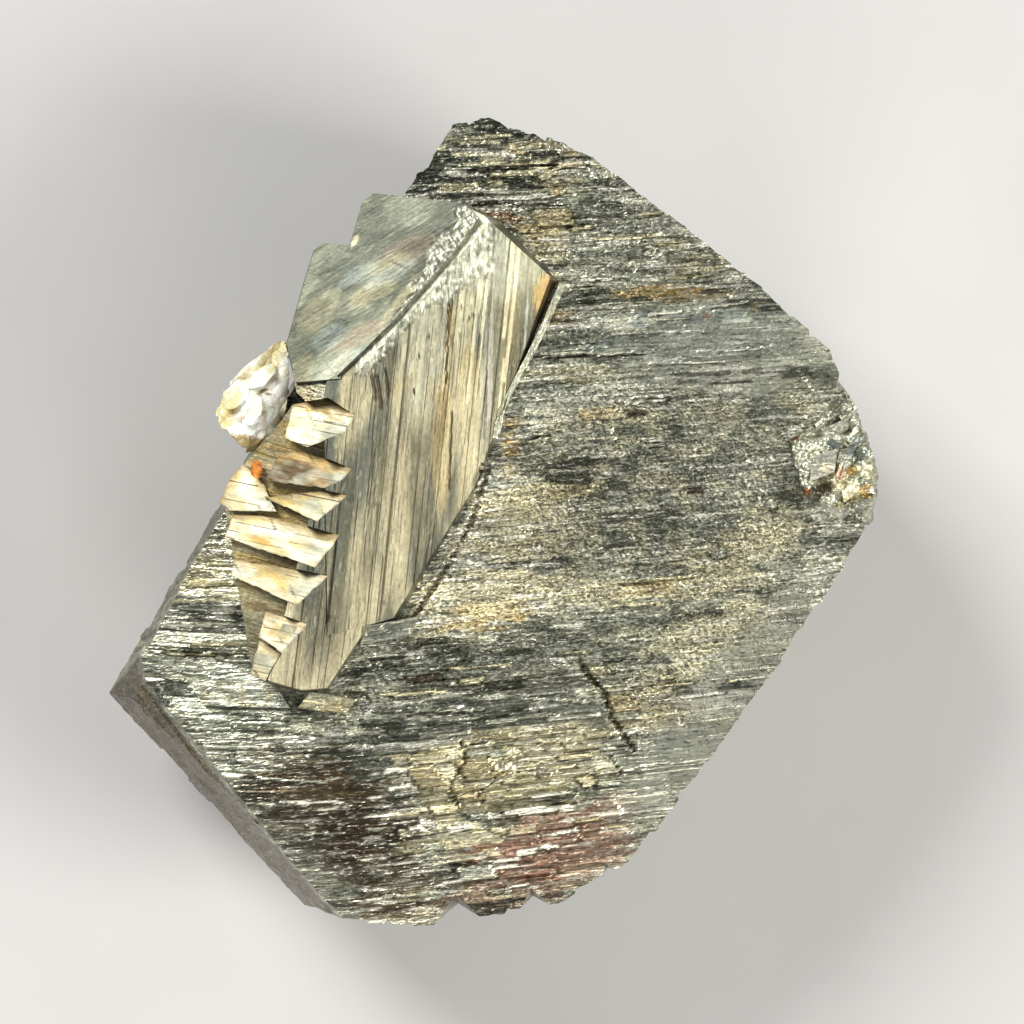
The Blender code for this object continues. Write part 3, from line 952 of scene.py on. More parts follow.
@dataclass(frozen=True)
class PearlFinish:
    """Pearly mica: pale sheets with fine cleavage lines."""
    name: str = "pearly_mica"

    def material(self) -> Material:
        """Lay out the material's nodes."""
        recipe = Recipe(self.name)
        lines = recipe.noise((1.2, 7.0, 9.0), (0, 0, 50), 3.0, 0.7, 0.5)
        grain = recipe.noise((6.0, 8.0, 8.0), (0, 0, 50), 2.0, 0.7, 0.3)
        shade = recipe.times(recipe.spread(lines, 0.35, 0.65, 0.93, 1.12),
                             recipe.spread(grain, 0.35, 0.65, 0.97, 1.08))
        height = recipe.plus(lines, recipe.times(grain, 0.4))
        recipe.set(Base_Color=recipe.scaled(recipe.layer("patina", "Color"), shade), Metallic=0.0, IOR=1.6,
                   Roughness=recipe.spread(grain, 0.3, 0.7, 0.2, 0.42), Subsurface_Weight=0.25,
                   Subsurface_Scale=0.0008, Coat_Weight=0.6, Coat_Roughness=0.15,
                   Normal=recipe.bump(height, 0.6, 0.0001))
        return recipe.material


@dataclass(frozen=True)
class RustFinish:
    """Orange iron oxide, crumbly and dull."""
    name: str = "iron_oxide"

    def material(self) -> Material:
        """Lay out the material's nodes."""
        recipe = Recipe(self.name)
        grain = recipe.noise((4.0, 4.0, 4.0), (0, 0, 0), 4.0, 0.65, 0.3)
        colour = recipe.mix(recipe.spread(grain, 0.35, 0.65), (0.42, 0.1, 0.02, 1), (0.95, 0.42, 0.06, 1))
        recipe.set(Base_Color=colour, Roughness=recipe.spread(grain, 0.3, 0.7, 0.55, 0.85), Metallic=0.0,
                   Normal=recipe.bump(grain, 0.6, 0.0001))
        return recipe.material


@dataclass(frozen=True)
class FloorFinish:
    """Matt pale board."""
    name: str = "pale_board"

    def material(self) -> Material:
        """Lay out the material's nodes."""
        recipe = Recipe(self.name)
        fibre = recipe.noise((0.05, 0.05, 0.05), (0, 0, 0), 3.0, 0.5)
        colour = recipe.mix(recipe.spread(fibre, 0.3, 0.7), (0.58, 0.575, 0.565, 1), (0.62, 0.615, 0.605, 1))
        recipe.set(Base_Color=colour, Roughness=0.8)
        return recipe.material


# ---- Main crystal ----

@dataclass(frozen=True)
class FrontGrain:
    """Course of the front's striations: they rise a little to the right, dip to the left and fan out."""
    slope: float = 0.0787
    bend_x: float = -4.0
    bend: float = 0.0138
    fan: float = 0.003

    def course(self, x: Array) -> Array:
        """Height in the plan of the striation through the origin."""
        left = np.maximum(self.bend_x - x, 0.0)
        return self.slope * x + self.bend * left * left / 2

    def laid(self, u: Array, v: Array) -> tuple[Array, Array]:
        """Plan position of a point along and across the striations."""
        return u, v + self.course(u) - self.fan * u * v

    def across(self, x: Array, y: Array) -> Array:
        """Distance across the striations of a plan position."""
        return (y - self.course(x)) / (1.0 - self.fan * x)


GRAIN = FrontGrain()

FRONT_PATCHES = (
    # upper end
    (-1, 18, 4.5, 2.6, 5, GRAPHITE, 0.85), (5, 15.6, 1.6, 0.9, 5, GRAPHITE, 0.7),
    (3, 18, 2.2, 1.2, -30, SAND, 0.35), (2.6, 14.1, 1.2, 0.9, -35, SAND, 0.8),
    (0.2, 15.5, 1.2, 0.35, -18, RUST, 0.35), (8, 13.6, 4.5, 1.1, 4, STEEL, 0.6),
    (10.8, 13, 1.8, 0.5, 5, SAND, 0.6), (10, 11.4, 2.4, 0.35, 4, BRONZE, 0.6),
    (7.6, 11.6, 2.6, 0.3, 4, GOLD, 0.5), (9, 13.9, 0.7, 0.2, 4, GOLD, 0.5), (11, 9.4, 5, 1.5, 4, BLUE, 0.65),
    (10.6, 10.3, 0.35, 0.2, 0, RUST, 0.5), (13, 10.8, 0.3, 0.2, 0, GOLD, 0.5),
    (16, 7.6, 3, 2, -40, SILVER, 0.6), (15.1, 6.1, 1.7, 0.9, -45, SAND, 0.45),
    (3.2, 10.4, 1.2, 0.5, 0, BRONZE, 0.5), (4.4, 7.2, 1.8, 0.35, 3, OLIVE, 0.6),
    # middle
    (7.5, 6.5, 4.5, 0.8, 4, SILVER, 0.45), (8, 3.9, 2, 1.5, 4, GRAPHITE, 0.4),
    (3.6, 2.4, 2.2, 0.9, 3, GRAPHITE, 0.55), (7.5, 0.2, 4.5, 1.7, 4, SLATE, 0.35),
    (4.5, -1.4, 5.5, 1.2, 5, SLATE, 0.45), (14.2, 5.1, 1.6, 0.8, 0, SLATE, 0.75),
    (14.7, 3.2, 1.4, 1.1, -20, GRAPHITE, 0.6), (15.1, 1.6, 1, 0.8, 10, GRAPHITE, 0.8),
    (15.3, -0.1, 1, 0.6, -30, GRAPHITE, 0.75), (12.7, -1.3, 2.6, 1.2, 25, CREAM, 0.55),
    (10, -2, 1.1, 0.7, 10, GRAPHITE, 0.8), (0.8, 4, 0.6, 0.6, 0, GOLD, 0.7),
    (0.8, 4.9, 0.5, 0.3, 0, GOLD, 0.5), (0.6, 2.6, 0.6, 0.6, 0, SAND, 0.8),
    (2.2, 1.6, 2.6, 0.45, 3, SAND, 0.75), (1.3, 0.6, 2.4, 0.7, 3, SAND, 0.6),
    (0.6, -1, 2.8, 1.2, 4, SAND, 0.45), (-0.4, -3.4, 4.2, 1, 4, CREAM, 0.7),
    (-0.3, -4.6, 2.6, 0.7, 4, GOLD, 0.65), (-3.2, -3.9, 1.4, 0.8, 30, CREAM, 0.7),
    (8, -3.2, 2.4, 0.5, 8, GOLD, 0.55), (10.2, -3.1, 1.2, 0.4, 8, OLIVE, 0.6),
    (5, -4.2, 3.4, 0.4, 6, SILVER, 0.5), (6.5, -5, 4, 0.5, 5, SLATE, 0.6),
    (1.6, -6.2, 4.2, 0.7, 4, GRAPHITE, 0.4), (-3.6, -7.4, 3.6, 1.3, 2, GRAPHITE, 0.5),
    (1, -8.4, 3.2, 0.7, 2, GRAPHITE, 0.5), (-4.5, -9.6, 5, 1, 2, SLATE, 0.75),
    (-7.5, -11.5, 4, 1.6, 3, GRAPHITE, 0.6), (-10.4, -10, 4, 1.3, -2, SILVER, 0.6),
    # right-hand lower part
    (11, -6.2, 3.8, 1.6, 30, CREAM, 0.6), (11.5, -8.6, 4.2, 1.6, 50, SILVER, 0.85),
    (8.5, -12.2, 3.6, 1.7, 50, SILVER, 0.65), (7.6, -6.9, 2.2, 0.4, 5, GRAPHITE, 0.5),
    (6.4, -9, 1, 0.6, 5, SAND, 0.7), (9.2, -9.4, 1.6, 0.5, 7, BRONZE, 0.35), (8, -10, 2, 0.6, 7, SAND, 0.6),
    (7.4, -8.3, 2, 0.5, 6, SAND, 0.5), (16, -3.2, 3, 1.4, 55, SILVER, 0.6),
    # lower blocks and the warm lower edge
    (1.5, -12.2, 5, 2.2, 6, SAND, 0.5), (-0.9, -12.4, 1, 0.7, 8, ROSE, 0.3),
    (-3.3, -12.6, 1.1, 0.8, 8, SAND, 0.7), (-1.4, -13.6, 0.9, 0.5, 8, ROSE, 0.25),
    (3, -15.8, 4.4, 1.8, 10, ROSE, 0.7), (0.6, -18.6, 3.8, 1.2, 6, ROSE, 0.55),
    (-5.6, -16.6, 3.6, 2.6, 10, UMBER, 0.5), (-4.6, -19.4, 2.2, 1, 0, BRONZE, 0.4),
    (-8.8, -14.2, 4.2, 2.2, -30, UMBER, 0.55), (6, -14, 2.2, 0.9, 20, ROSE, 0.35),
    (-1.8, -16.6, 1.4, 0.7, 8, BRONZE, 0.4), (2, -14.9, 1.6, 0.3, 5, ROSE, 0.6),
    (-7.6, -15, 5, 2.8, -40, UMBER, 0.4), (-9.5, -12.6, 3, 1.4, -30, BRONZE, 0.3),
    # left flank
    (-13, -8.4, 2.8, 0.9, -3, BLUE, 0.5), (-14.6, -5, 3.2, 1.6, 5, SILVER, 0.45),
    (-12.4, -4.9, 0.9, 1, 60, GRAPHITE, 0.85), (-15, -2.2, 2.2, 1.2, 30, SAND, 0.5),
    (-15, -9.4, 2.4, 0.9, -25, SILVER, 0.5), (-11.5, -11, 3, 0.8, -20, STEEL, 0.5),
    (12.5, 8.4, 5.5, 1.9, 4, SILVER, 0.6), (15.9, 6.7, 1.5, 1.3, -50, STEEL, 0.6),
)

# broad darker and paler areas, laid over the growth steps
FRONT_FIELDS = (
    (2.2, 3.3, 2.6, 1.2, 3, GRAPHITE, 0.4), (6.6, -0.4, 3.4, 1.3, 5, GRAPHITE, 0.22),
    (7.6, 2.8, 2.6, 0.7, 4, GRAPHITE, 0.25), (14.9, 3, 1.3, 1.2, -30, SLATE, 0.6),
    (10.8, -2.5, 2.6, 1.4, 25, CREAM, 0.45), (1.6, -3.7, 5.4, 0.9, 4, CREAM, 0.45),
    (0.8, 1.1, 2.4, 0.7, 3, CREAM, 0.45), (5.2, 5.2, 3, 0.5, 4, CREAM, 0.35),
    (-2.5, -7.2, 5.2, 1.2, 3, GRAPHITE, 0.15), (4, -6.4, 3, 0.8, 5, GRAPHITE, 0.15),
    (0.6, -12.6, 4.8, 2.4, 6, CREAM, 0.35), (-8, -15.4, 5.4, 3.2, -38, UMBER, 0.4),
    (-4.2, -18.2, 3, 1.8, 10, UMBER, 0.25), (2.6, -16.8, 4, 1.8, 12, ROSE, 0.5),
    (12.5, 9.2, 5, 1.3, 4, STEEL, 0.35), (8.6, 13.4, 3.6, 0.8, 4, STEEL, 0.4),
    (-12.6, -8.6, 3, 1, -3, SLATE, 0.4), (-12.2, -11, 3, 1, -25, SLATE, 0.35),
)

# the white and cream tints of the raised ledges are partly their pale colour and partly a painted highlight
# on their lit tops
FRONT_LEDGES = [Ledge(*row) for row in (
    # x, y, length, width, turn, rise, tint, tilt
    # lower blocks
    (-4.79, -13.23, 1.1, 0.2, 12, 0.1, WHITE, 0.3), (-5.95, -14.21, 1.7, 0.14, 4, 0.1, WHITE, 0.3),
    (-3.36, -15.06, 0.9, 0.45, -10, 0.16, WHITE, 0.2), (-3.9, -15.3, 0.8, 0.28, 5, 0.12, WHITE, 0.2),
    (-2.55, -14.3, 1.4, 0.5, 6, 0.18, CREAM, 0.2), (-1.84, -15.24, 1, 0.42, 15, 0.14, WHITE, 0.2),
    (2.18, -14.39, 3.6, 0.38, 5, 0.18, WHITE, 0.2), (-0.5, -14.66, 1.8, 0.4, 3, 0.12, SILVER, 0.1),
    (0.17, -15.4, 0.9, 0.32, 0, 0.12, CREAM, 0.2), (-3.09, -16.2, 1, 0.36, 3, 0.14, SILVER, 0.2),
    (3.52, -15.46, 1.3, 0.22, 12, 0.12, WHITE, 0.3), (1.6, -16.5, 0.9, 0.3, 8, 0.12, WHITE, 0.3),
    (2.54, -16.27, 1.1, 0.22, 8, 0.12, WHITE, 0.3), (-0.14, -16.5, 0.55, 0.36, 8, 0.12, CREAM, 0.2),
    (-0.95, -17.55, 1.8, 0.75, 6, 0.16, SILVER, 0.05), (0.57, -16.94, 1.4, 0.15, 8, 0.1, WHITE, 0.3),
    (0.66, -17.25, 1, 0.14, 8, 0.08, WHITE, 0.3), (-5.86, -16.1, 2.1, 0.13, 0, 0.08, SILVER, 0.3),
    (-6.04, -16.85, 1.5, 0.12, 5, 0.08, SILVER, 0.3), (-4.34, -17.03, 1.2, 0.12, 5, 0.08, WHITE, 0.3),
    (-2.3, -18.05, 1.4, 0.18, 12, 0.1, WHITE, 0.3), (0.2, -18.46, 1.1, 0.28, 5, 0.12, SILVER, 0.2),
    (1.1, -18.2, 1, 0.18, 8, 0.1, WHITE, 0.3), (-4.07, -18.95, 1.5, 0.12, 6, 0.08, WHITE, 0.3),
    (-5.2, -18.7, 0.8, 0.12, 4, 0.08, WHITE, 0.3), (2.27, -17.8, 1.2, 0.12, 6, 0.06, ROSE, 0.2),
    (2.7, -13.6, 2.2, 0.22, 5, 0.12, WHITE, 0.3), (-0.47, -11.53, 2, 0.38, 3, 0.16, SILVER, 0.2),
    (0.53, -11.07, 4, 0.12, 5, 0.1, WHITE, 0.3), (2.97, -10.88, 1.5, 0.3, 4, 0.14, CREAM, 0.2),
    (-1.08, -10.92, 1.1, 0.3, 10, 0.12, CREAM, 0.2), (5.19, -10.6, 1.3, 0.3, 6, 0.14, CREAM, 0.2),
    (-0.09, -10.7, 1.8, 0.22, 4, 0.08, SAND, 0.2), (0.3, -9.9, 1.5, 0.25, 5, 0.1, SILVER, 0.2),
    (-3.3, -11.83, 2, 0.38, 5, 0.14, CREAM, 0.15), (-0.85, -12.3, 1.8, 1.1, 8, 0.2, SAND, 0.04),
    (-3.45, -12.7, 1.4, 1.1, 8, 0.16, SAND, 0.04), (-1.46, -13.6, 1.5, 0.75, 8, 0.12, SAND, 0.05),
    (4.58, -12.94, 0.75, 0.55, 10, 0.16, CREAM, 0.1), (5.58, -12.5, 1.3, 0.2, 6, 0.1, CREAM, 0.3),
    (-4.98, -12.4, 1.1, 0.18, 4, 0.08, WHITE, 0.3), (-4.2, -8.54, 3.3, 0.18, 3, 0.08, CREAM, 0.3),
    (-3.7, -7.3, 3.5, 0.11, 0, 0.06, SILVER, 0.3), (-0.85, -7.2, 3.5, 0.11, 4, 0.06, CREAM, 0.3),
    (-1.16, -7.9, 1.2, 0.32, 5, 0.12, CREAM, 0.2), (-2.1, -8.05, 0.5, 0.2, 5, 0.12, WHITE, 0.2),
    (5.2, -7.4, 1.4, 0.36, 4, 0.14, CREAM, 0.15), (-3.15, -5.94, 1.7, 0.3, 3, -0.14, GRAPHITE, 0.1),
    (-3.6, -7.8, 2, 0.36, 4, -0.16, UMBER, 0.1), (0.37, -8.16, 2, 0.42, 2, -0.16, GRAPHITE, 0.1),
    (0.68, -6.5, 2.5, 0.32, 4, -0.1, GRAPHITE, 0.1), (-2.15, -10.6, 1.9, 0.22, 8, 0.08, SILVER, 0.2),
    (3.05, -8.85, 3.4, 0.11, -3, 0.06, SILVER, 0.3), (4.1, -6.5, 1.2, 0.1, 3, 0.06, CREAM, 0.3),
    (-3.1, -9.4, 5.2, 0.1, 1, 0.05, SILVER, 0.3), (3.9, -9.7, 2.6, 0.2, 4, 0.08, SILVER, 0.2),
    (4, -11.7, 1.8, 0.24, 5, 0.1, CREAM, 0.2), (1.2, -12.9, 1.7, 0.2, 6, 0.08, CREAM, 0.2),
    (3.3, -12.2, 1.5, 0.16, 6, 0.08, CREAM, 0.3), (1, -13.7, 1, 0.22, 6, 0.08, CREAM, 0.2),
    (4.6, -14.9, 1.3, 0.14, 6, 0.06, SAND, 0.2), (6, -15.2, 1.2, 0.12, 8, 0.05, SAND, 0.2),
    # right-hand side
    (7.3, -5.84, 1.5, 0.18, 2, 0.1, WHITE, 0.3), (6.8, -4.1, 3, 0.16, 2, 0.08, CREAM, 0.3),
    (7.1, -8.1, 1.8, 0.11, 3, 0.06, WHITE, 0.3), (6.65, -8.32, 1.6, 0.1, 3, 0.06, WHITE, 0.3),
    (8.55, -7.73, 0.8, 0.25, 0, 0.1, CREAM, 0.2), (9.7, -8.7, 3.6, 0.09, 7, 0.05, WHITE, 0.3),
    (11.9, -7.9, 0.6, 0.2, 5, 0.1, CREAM, 0.2), (6.37, -9, 1.4, 0.8, 3, 0.12, SAND, 0.03),
    (6.9, -10.5, 1.1, 0.14, 4, 0.08, WHITE, 0.3), (8.06, -2.86, 3.5, 0.14, 6, 0.08, CREAM, 0.3),
    (6, -11.3, 1.4, 0.12, 4, 0.06, WHITE, 0.3), (6.1, -12.4, 1.6, 0.14, 4, 0.08, WHITE, 0.3),
    (8.9, -8.1, 2.2, 0.1, 6, 0.05, CREAM, 0.3), (6.3, -6.9, 2, 0.2, 4, -0.08, GRAPHITE, 0.1),
    (11.2, -1.5, 0.9, 0.6, 20, 0.16, SILVER, 0.1), (14.9, 4.5, 1, 0.6, 30, 0.1, SILVER, 0.1),
    (13.6, 1, 1.1, 0.45, -30, 0.08, SILVER, 0.1), (5.2, 5.44, 2, 0.55, 2, 0.08, SAND, 0.02),
    (7.8, 6.3, 1.8, 0.1, 3, 0.06, WHITE, 0.3), (7.6, 6.05, 2.2, 0.1, 4, 0.06, WHITE, 0.3),
    (7.9, 6.55, 1.6, 0.09, 3, 0.05, WHITE, 0.3), (7, 5.5, 1, 0.35, 3, -0.1, UMBER, 0.1),
    (3.6, 2.2, 2.4, 0.5, -4, -0.14, GRAPHITE, 0.1), (3.7, 1.44, 2.1, 0.3, 5, 0.08, SAND, 0.1),
    (2.3, 4.3, 0.9, 0.14, 4, -0.08, GRAPHITE, 0.1), (8, 4.1, 1.3, 0.12, 0, 0.08, WHITE, 0.3),
    (8.2, 3.85, 1.6, 0.12, 2, 0.08, SILVER, 0.3), (10, 1.6, 0.8, 0.3, 0, -0.16, UMBER, 0.1),
    (6.97, 0.25, 0.7, 0.11, 5, 0.06, WHITE, 0.3), (9.3, 1, 2.2, 0.1, 3, 0.05, SILVER, 0.3),
    (8.2, -1.9, 2.6, 0.14, 6, 0.06, SILVER, 0.3), (4.4, 0.9, 1.8, 0.1, 4, 0.05, SILVER, 0.3),
    # upper end
    (0.86, 16.28, 4.1, 0.24, 3, 0.14, WHITE, 0.2), (0.86, 17.48, 2.3, 0.3, 3, 0.14, CREAM, 0.15),
    (0.09, 17, 0.8, 0.32, 3, 0.12, CREAM, 0.15), (1.35, 17, 1.8, 0.6, 3, -0.14, GRAPHITE, 0.05),
    (-0.4, 19.34, 2.3, 0.16, 5, 0.1, CREAM, 0.2), (2.9, 15.3, 1.9, 0.85, 3, 0.16, SAND, 0.03),
    (1.56, 14.74, 1.1, 0.5, 3, 0.12, SAND, 0.05), (-2.1, 16.1, 2.3, 0.2, -3, 0.12, WHITE, 0.2),
    (-0.47, 15.97, 1.2, 0.3, 0, -0.14, GRAPHITE, 0.1), (4.3, 14.74, 1.1, 0.2, 8, 0.08, CREAM, 0.2),
    (1.2, 18.67, 0.7, 0.4, 10, 0.1, SAND, 0.1), (2, 18.9, 0.6, 0.3, 20, 0.12, CREAM, 0.1),
    (2.3, 18.1, 0.9, 0.25, 10, 0.12, CREAM, 0.1), (2.6, 17.4, 0.7, 0.35, 30, 0.12, CREAM, 0.1),
    (3.1, 16.6, 0.7, 0.4, 20, 0.12, SAND, 0.1), (3.6, 17.9, 1.3, 0.2, 8, 0.1, CREAM, 0.2),
    (3.9, 18.53, 0.9, 0.3, 0, 0.1, SAND, 0.1), (5.1, 12.2, 1.4, 0.14, 3, 0.06, WHITE, 0.3),
    (7.66, 15.46, 1.1, 0.2, 8, 0.1, CREAM, 0.2), (8.8, 14.5, 1.2, 0.34, 3, 0.12, SILVER, 0.1),
    (7.84, 13.6, 0.7, 0.5, -20, 0.1, SILVER, 0.1), (8.5, 10.5, 1.7, 0.12, 6, 0.08, WHITE, 0.3),
    (8.9, 10.2, 1.6, 0.1, 4, 0.05, SILVER, 0.3), (7.5, 9.5, 3.2, 0.1, 3, 0.05, WHITE, 0.3),
    (11.5, 10.9, 2.4, 0.1, 8, 0.05, SILVER, 0.3), (12.5, 8.7, 1.6, 0.1, 4, 0.04, SILVER, 0.3),
    (4.6, 8.5, 4.6, 0.16, 1, 0.08, SILVER, 0.2), (9.6, 8, 3.6, 0.1, 2, 0.05, SILVER, 0.3),
    (6.6, 14.3, 3.4, 0.16, 4, 0.06, CREAM, 0.2), (5.6, 13.5, 2.4, 0.14, 4, 0.06, SILVER, 0.2),
    (9.6, 12.3, 2.2, 0.12, 5, 0.05, CREAM, 0.2), (6, 11.1, 3.6, 0.14, 3, -0.06, GRAPHITE, 0.1),
    # left flank
    (-6.9, -8.6, 1.1, 0.3, -4, -0.1, UMBER, 0.1), (-14.2, -3.1, 2.6, 0.18, 4, 0.12, CREAM, 0.2),
    (-14.6, -3.9, 3.2, 0.16, 3, 0.12, CREAM, 0.2), (-15.3, -5.2, 2.4, 0.16, 2, 0.12, WHITE, 0.2),
    (-13.6, -6.1, 3.2, 0.18, 2, 0.12, CREAM, 0.2), (-15.4, -6.6, 2.6, 0.15, -2, 0.1, CREAM, 0.2),
    (-12.6, -6.9, 2.8, 0.2, -2, 0.12, WHITE, 0.2), (-9.4, -9.9, 3.6, 0.14, -2, 0.08, SILVER, 0.2),
    (-11, -10.4, 4.6, 0.12, -4, 0.08, SILVER, 0.2), (-8.6, -11.2, 4, 0.1, 1, 0.06, SILVER, 0.2),
    (-12.2, -12, 3.4, 0.14, -8, 0.08, WHITE, 0.2), (-10.2, -12.9, 3.6, 0.1, -3, 0.06, SILVER, 0.2),
    (-9.2, -14, 3.2, 0.1, 0, 0.06, WHITE, 0.2), (-8.8, -15.6, 2.6, 0.1, 2, 0.06, SILVER, 0.2),
)]

FRONT_CRACKS_AND_SHADOW_LINE = [
    Crack(((4.2, -6.9), (4.9, -7.9), (5.6, -8.6), (5.75, -9.6), (6.3, -10.4), (7.0, -11.4)), 0.2, 0.16),
    Crack(((1.8, 8.3), (3.0, 8.2), (4.4, 8.35), (5.8, 8.3), (7.5, 8.4)), 0.11, 0.08),
    Crack(((-1.7, -11.0), (-1.5, -12.0), (-2.3, -13.2), (-1.9, -14.0)), 0.13, 0.1),
    Crack(((-0.3, -12.2), (0.1, -12.9), (-0.9, -13.5), (-0.6, -14.2)), 0.1, 0.08),
    Crack(((9.2, -9.3), (9.45, -10.2)), 0.12, 0.08), Crack(((5.7, -11.6), (6.4, -12.6)), 0.12, 0.09),
    Crack(((13.2, 1.7), (14.1, 0.4), (14.7, -0.6)), 0.1, 0.06),
    Crack(((0.6, 15.6), (1.6, 14.7), (2.6, 13.6)), 0.1, 0.08),
    Crack(((0.5, 16.2), (1.0, 15.4)), 0.09, 0.06), Crack(((7.2, 14.2), (7.9, 13.4)), 0.1, 0.05),
    Crack(((4.2, 5.4), (4.6, 4.9)), 0.09, 0.05),
    # painted shadow: not a crack but the shade at the foot of the twin's right wall, cut as a shallow groove
    # and darkened with umber
    Crack(((-0.35, 2.75), (-1.15, 0.1), (-2.2, -1.9), (-4.1, -4.75)), 0.3, 0.12),
]


def layered(ledges: Sequence[Ledge], x: Array, y: Array, lift: Array) -> Array:
    """Raise ledges and sink pits in a relief.

    Args:
        ledges: the ledges, in the order in which they lie on one another.
        x, y: plan positions.
        lift: the relief so far.

    Returns:
        The relief with the ledges.
    """
    lift = lift.copy()
    for ledge in ledges:
        inside, across = ledge.inside(x, y)
        lift[inside] = lift[inside] * 0.35 + ledge.rise + ledge.tilt * across
    return lift


@dataclass
class MainCrystal:
    """The rhombic main crystal: striated front, leaning sides, bevelled back and flat resting face."""
    front_height: float = 15.0
    upper_break: Span = (7.5, 6.0)
    lower_break: Span = (-11.5, 9.0)
    left_break: Span = (-9.0, 12.0)
    outline: tuple = (
        (-7.6, -20.15, -2), (-4.3, -20.4, -3), (3.1, -19.3, -3), (7.1, -17.0, -9), (14.7, -6.6, -10),
        (18.8, -0.2, -6), (19.3, 2.9, -6), (16.8, 8.9, -7), (10.2, 14.55, -5), (4.6, 18.7, -6),
        (-0.7, 20.5, -7), (-2.3, 20.1, -4), (-4.75, 16.4, 5), (-17.9, -6.85, 0))
    west_tip: tuple = (-19.88, -8.82, 5.5)
    west_edge: tuple = (-17.9, -6.85)
    south_west_corner: tuple = (-17.7, -8.1)
    bevel_lower_end: tuple = (-12.2, -14.8)
    bevel_foot: tuple = (-16.2, -10.85, 12.3)
    south_west_wall: tuple = ((-17.93, -9.06), (-7.95, -20.1), 12.3, 10.4)
    back_bevels: tuple = (
        ((-16.3, -12.6), 228, 5.5, 42), ((-12.0, 3.0), 150, 4.2, 50), ((-2.0, 19.3), 100, 5.5, 46),
        ((8.0, 15.0), 52, 4.6, 40), ((17.8, 4.0), 20, 5.2, 48), ((15.5, -4.0), 328, 3.6, 38),
        ((9.0, -12.5), 325, 5.6, 52), ((0.0, -19.0), 272, 5.0, 44))
    notches: tuple = (
        (-5.4, -19.75, 44, 4), (-2.0, -18.5, 41, 6), (1.8, -18.25, 40, 10), (5.5, -17.0, 38, 22),
        (-1.35, 19.75, 40, 170), (0.75, 19.55, 36, 195), (2.6, 18.95, 34, 200),
        (18.35, 4.55, 38, 115), (18.75, 2.35, 34, 100), (16.95, 6.4, 36, 130))
    pocket_plans: tuple = (
        ((14.6, 4.05), (15.45, 1.4), (17.3, 0.1), (22.0, -0.5), (22.0, 6.5), (16.6, 5.4)),
        ((15.9, 5.0), (22.0, 4.0), (22.0, 9.4), (17.2, 6.3)))
    base_pits: tuple = (
        (-7.5, -5.0, 7.5, 2.2, 60, 0.9), (9.5, 7.5, 8.0, 2.4, 142, 0.8), (3.0, 12.5, 6.0, 1.8, 10, 0.6),
        (8.5, -4.5, 6.5, 2.0, 58, 0.7), (0.5, -12.0, 5.5, 2.2, 8, 0.8), (-2.0, 5.5, 4.2, 1.5, 60, 0.5),
        (12.5, 1.5, 4.0, 1.2, 60, 0.6), (3.6, 2.6, 5.0, 1.0, 8, 0.4))
    rough_areas: tuple = (
        (0.8, (1.0, -13.8), (6.5, 4.2), (0.7, 1.3)), (0.35, (-14.5, -5.0), (4.0, 5.0), (0.7, 1.3)),
        (0.7, (2.5, 16.5), (4.5, 3.5), (0.7, 1.3)), (-0.45, (13.5, 8.0), (5.5, 4.5), (0.6, 1.3)),
        (-0.45, (-9.0, -15.5), (4.0, 4.5), (0.6, 1.3)))
    margin_middle: Span = (10.4, -9.6)
    margin_turn: float = 52.0
    coarse: Striae = Striae(101, (0.9, 2.6), 9.0, 0.1, 0.05)
    middle: Striae = Striae(102, (0.3, 0.9), 4.2, 0.055, 0.13)
    fine: Striae = Striae(103, (0.18, 0.4), 1.3, 0.022, 0.16)

    def front_at(self, x: Array, y: Array) -> Array:
        """Height of the front above a plan position.

        Args:
            x, y: plan positions.

        Returns:
            The heights.
        """
        upper, lower, left = (math.tan(math.radians(slope)) for _, slope in (
            self.upper_break, self.lower_break, self.left_break))
        drop = upper * np.maximum(y - self.upper_break[0], 0.0)
        drop = np.maximum(drop, lower * np.maximum(self.lower_break[0] - y, 0.0))
        drop = np.maximum(drop, left * np.maximum(self.left_break[0] - x, 0.0))
        return self.front_height - drop

    def roughness_at(self, x: Array, y: Array) -> Array:
        """How strong the growth steps are over the front.

        Args:
            x, y: plan positions.

        Returns:
            A factor for their height.
        """
        rough = 0.75
        for amount, middle, half, edge in self.rough_areas:
            rough = rough + amount * spot(x, y, middle, half, edge)
        along, across = turned(x - self.margin_middle[0], y - self.margin_middle[1], self.margin_turn)
        return (rough - 0.35 * spot(along, across, (0.0, 0.0), (9.0, 2.0), (0.6, 1.2))).clip(0.25)

    def steps(self, u: Array, v: Array) -> Array:
        """Growth steps of the front before they are strengthened or calmed."""
        return self.coarse.height(u, v) + self.middle.height(u, v) + self.fine.height(u, v)

    def front_relief(self, u: Array, v: Array) -> Array:
        """Relief of the front along and across its striations, over its slopes.

        Args:
            u: places along the striations.
            v: places across them.

        Returns:
            The heights.
        """
        x, y = GRAIN.laid(u, v)
        lift = self.steps(u, v) * self.roughness_at(x, y)
        lift = layered(FRONT_LEDGES, x, y, lift)
        for crack in FRONT_CRACKS_AND_SHADOW_LINE:
            lift = lift - crack.depth * crack.weight(x, y)
        return self.front_at(x, y) + lift

    def front(self) -> Relief:
        """The front with its growth steps."""
        return Relief(Face(Vector((0, 0, 0)), Vector((0, 0, 1))), Vector((1, 0, 0)), (-20.4, 19.9),
                      (-22.4, 21.6), (0.17, 0.08), self.front_relief, GRAIN.laid)

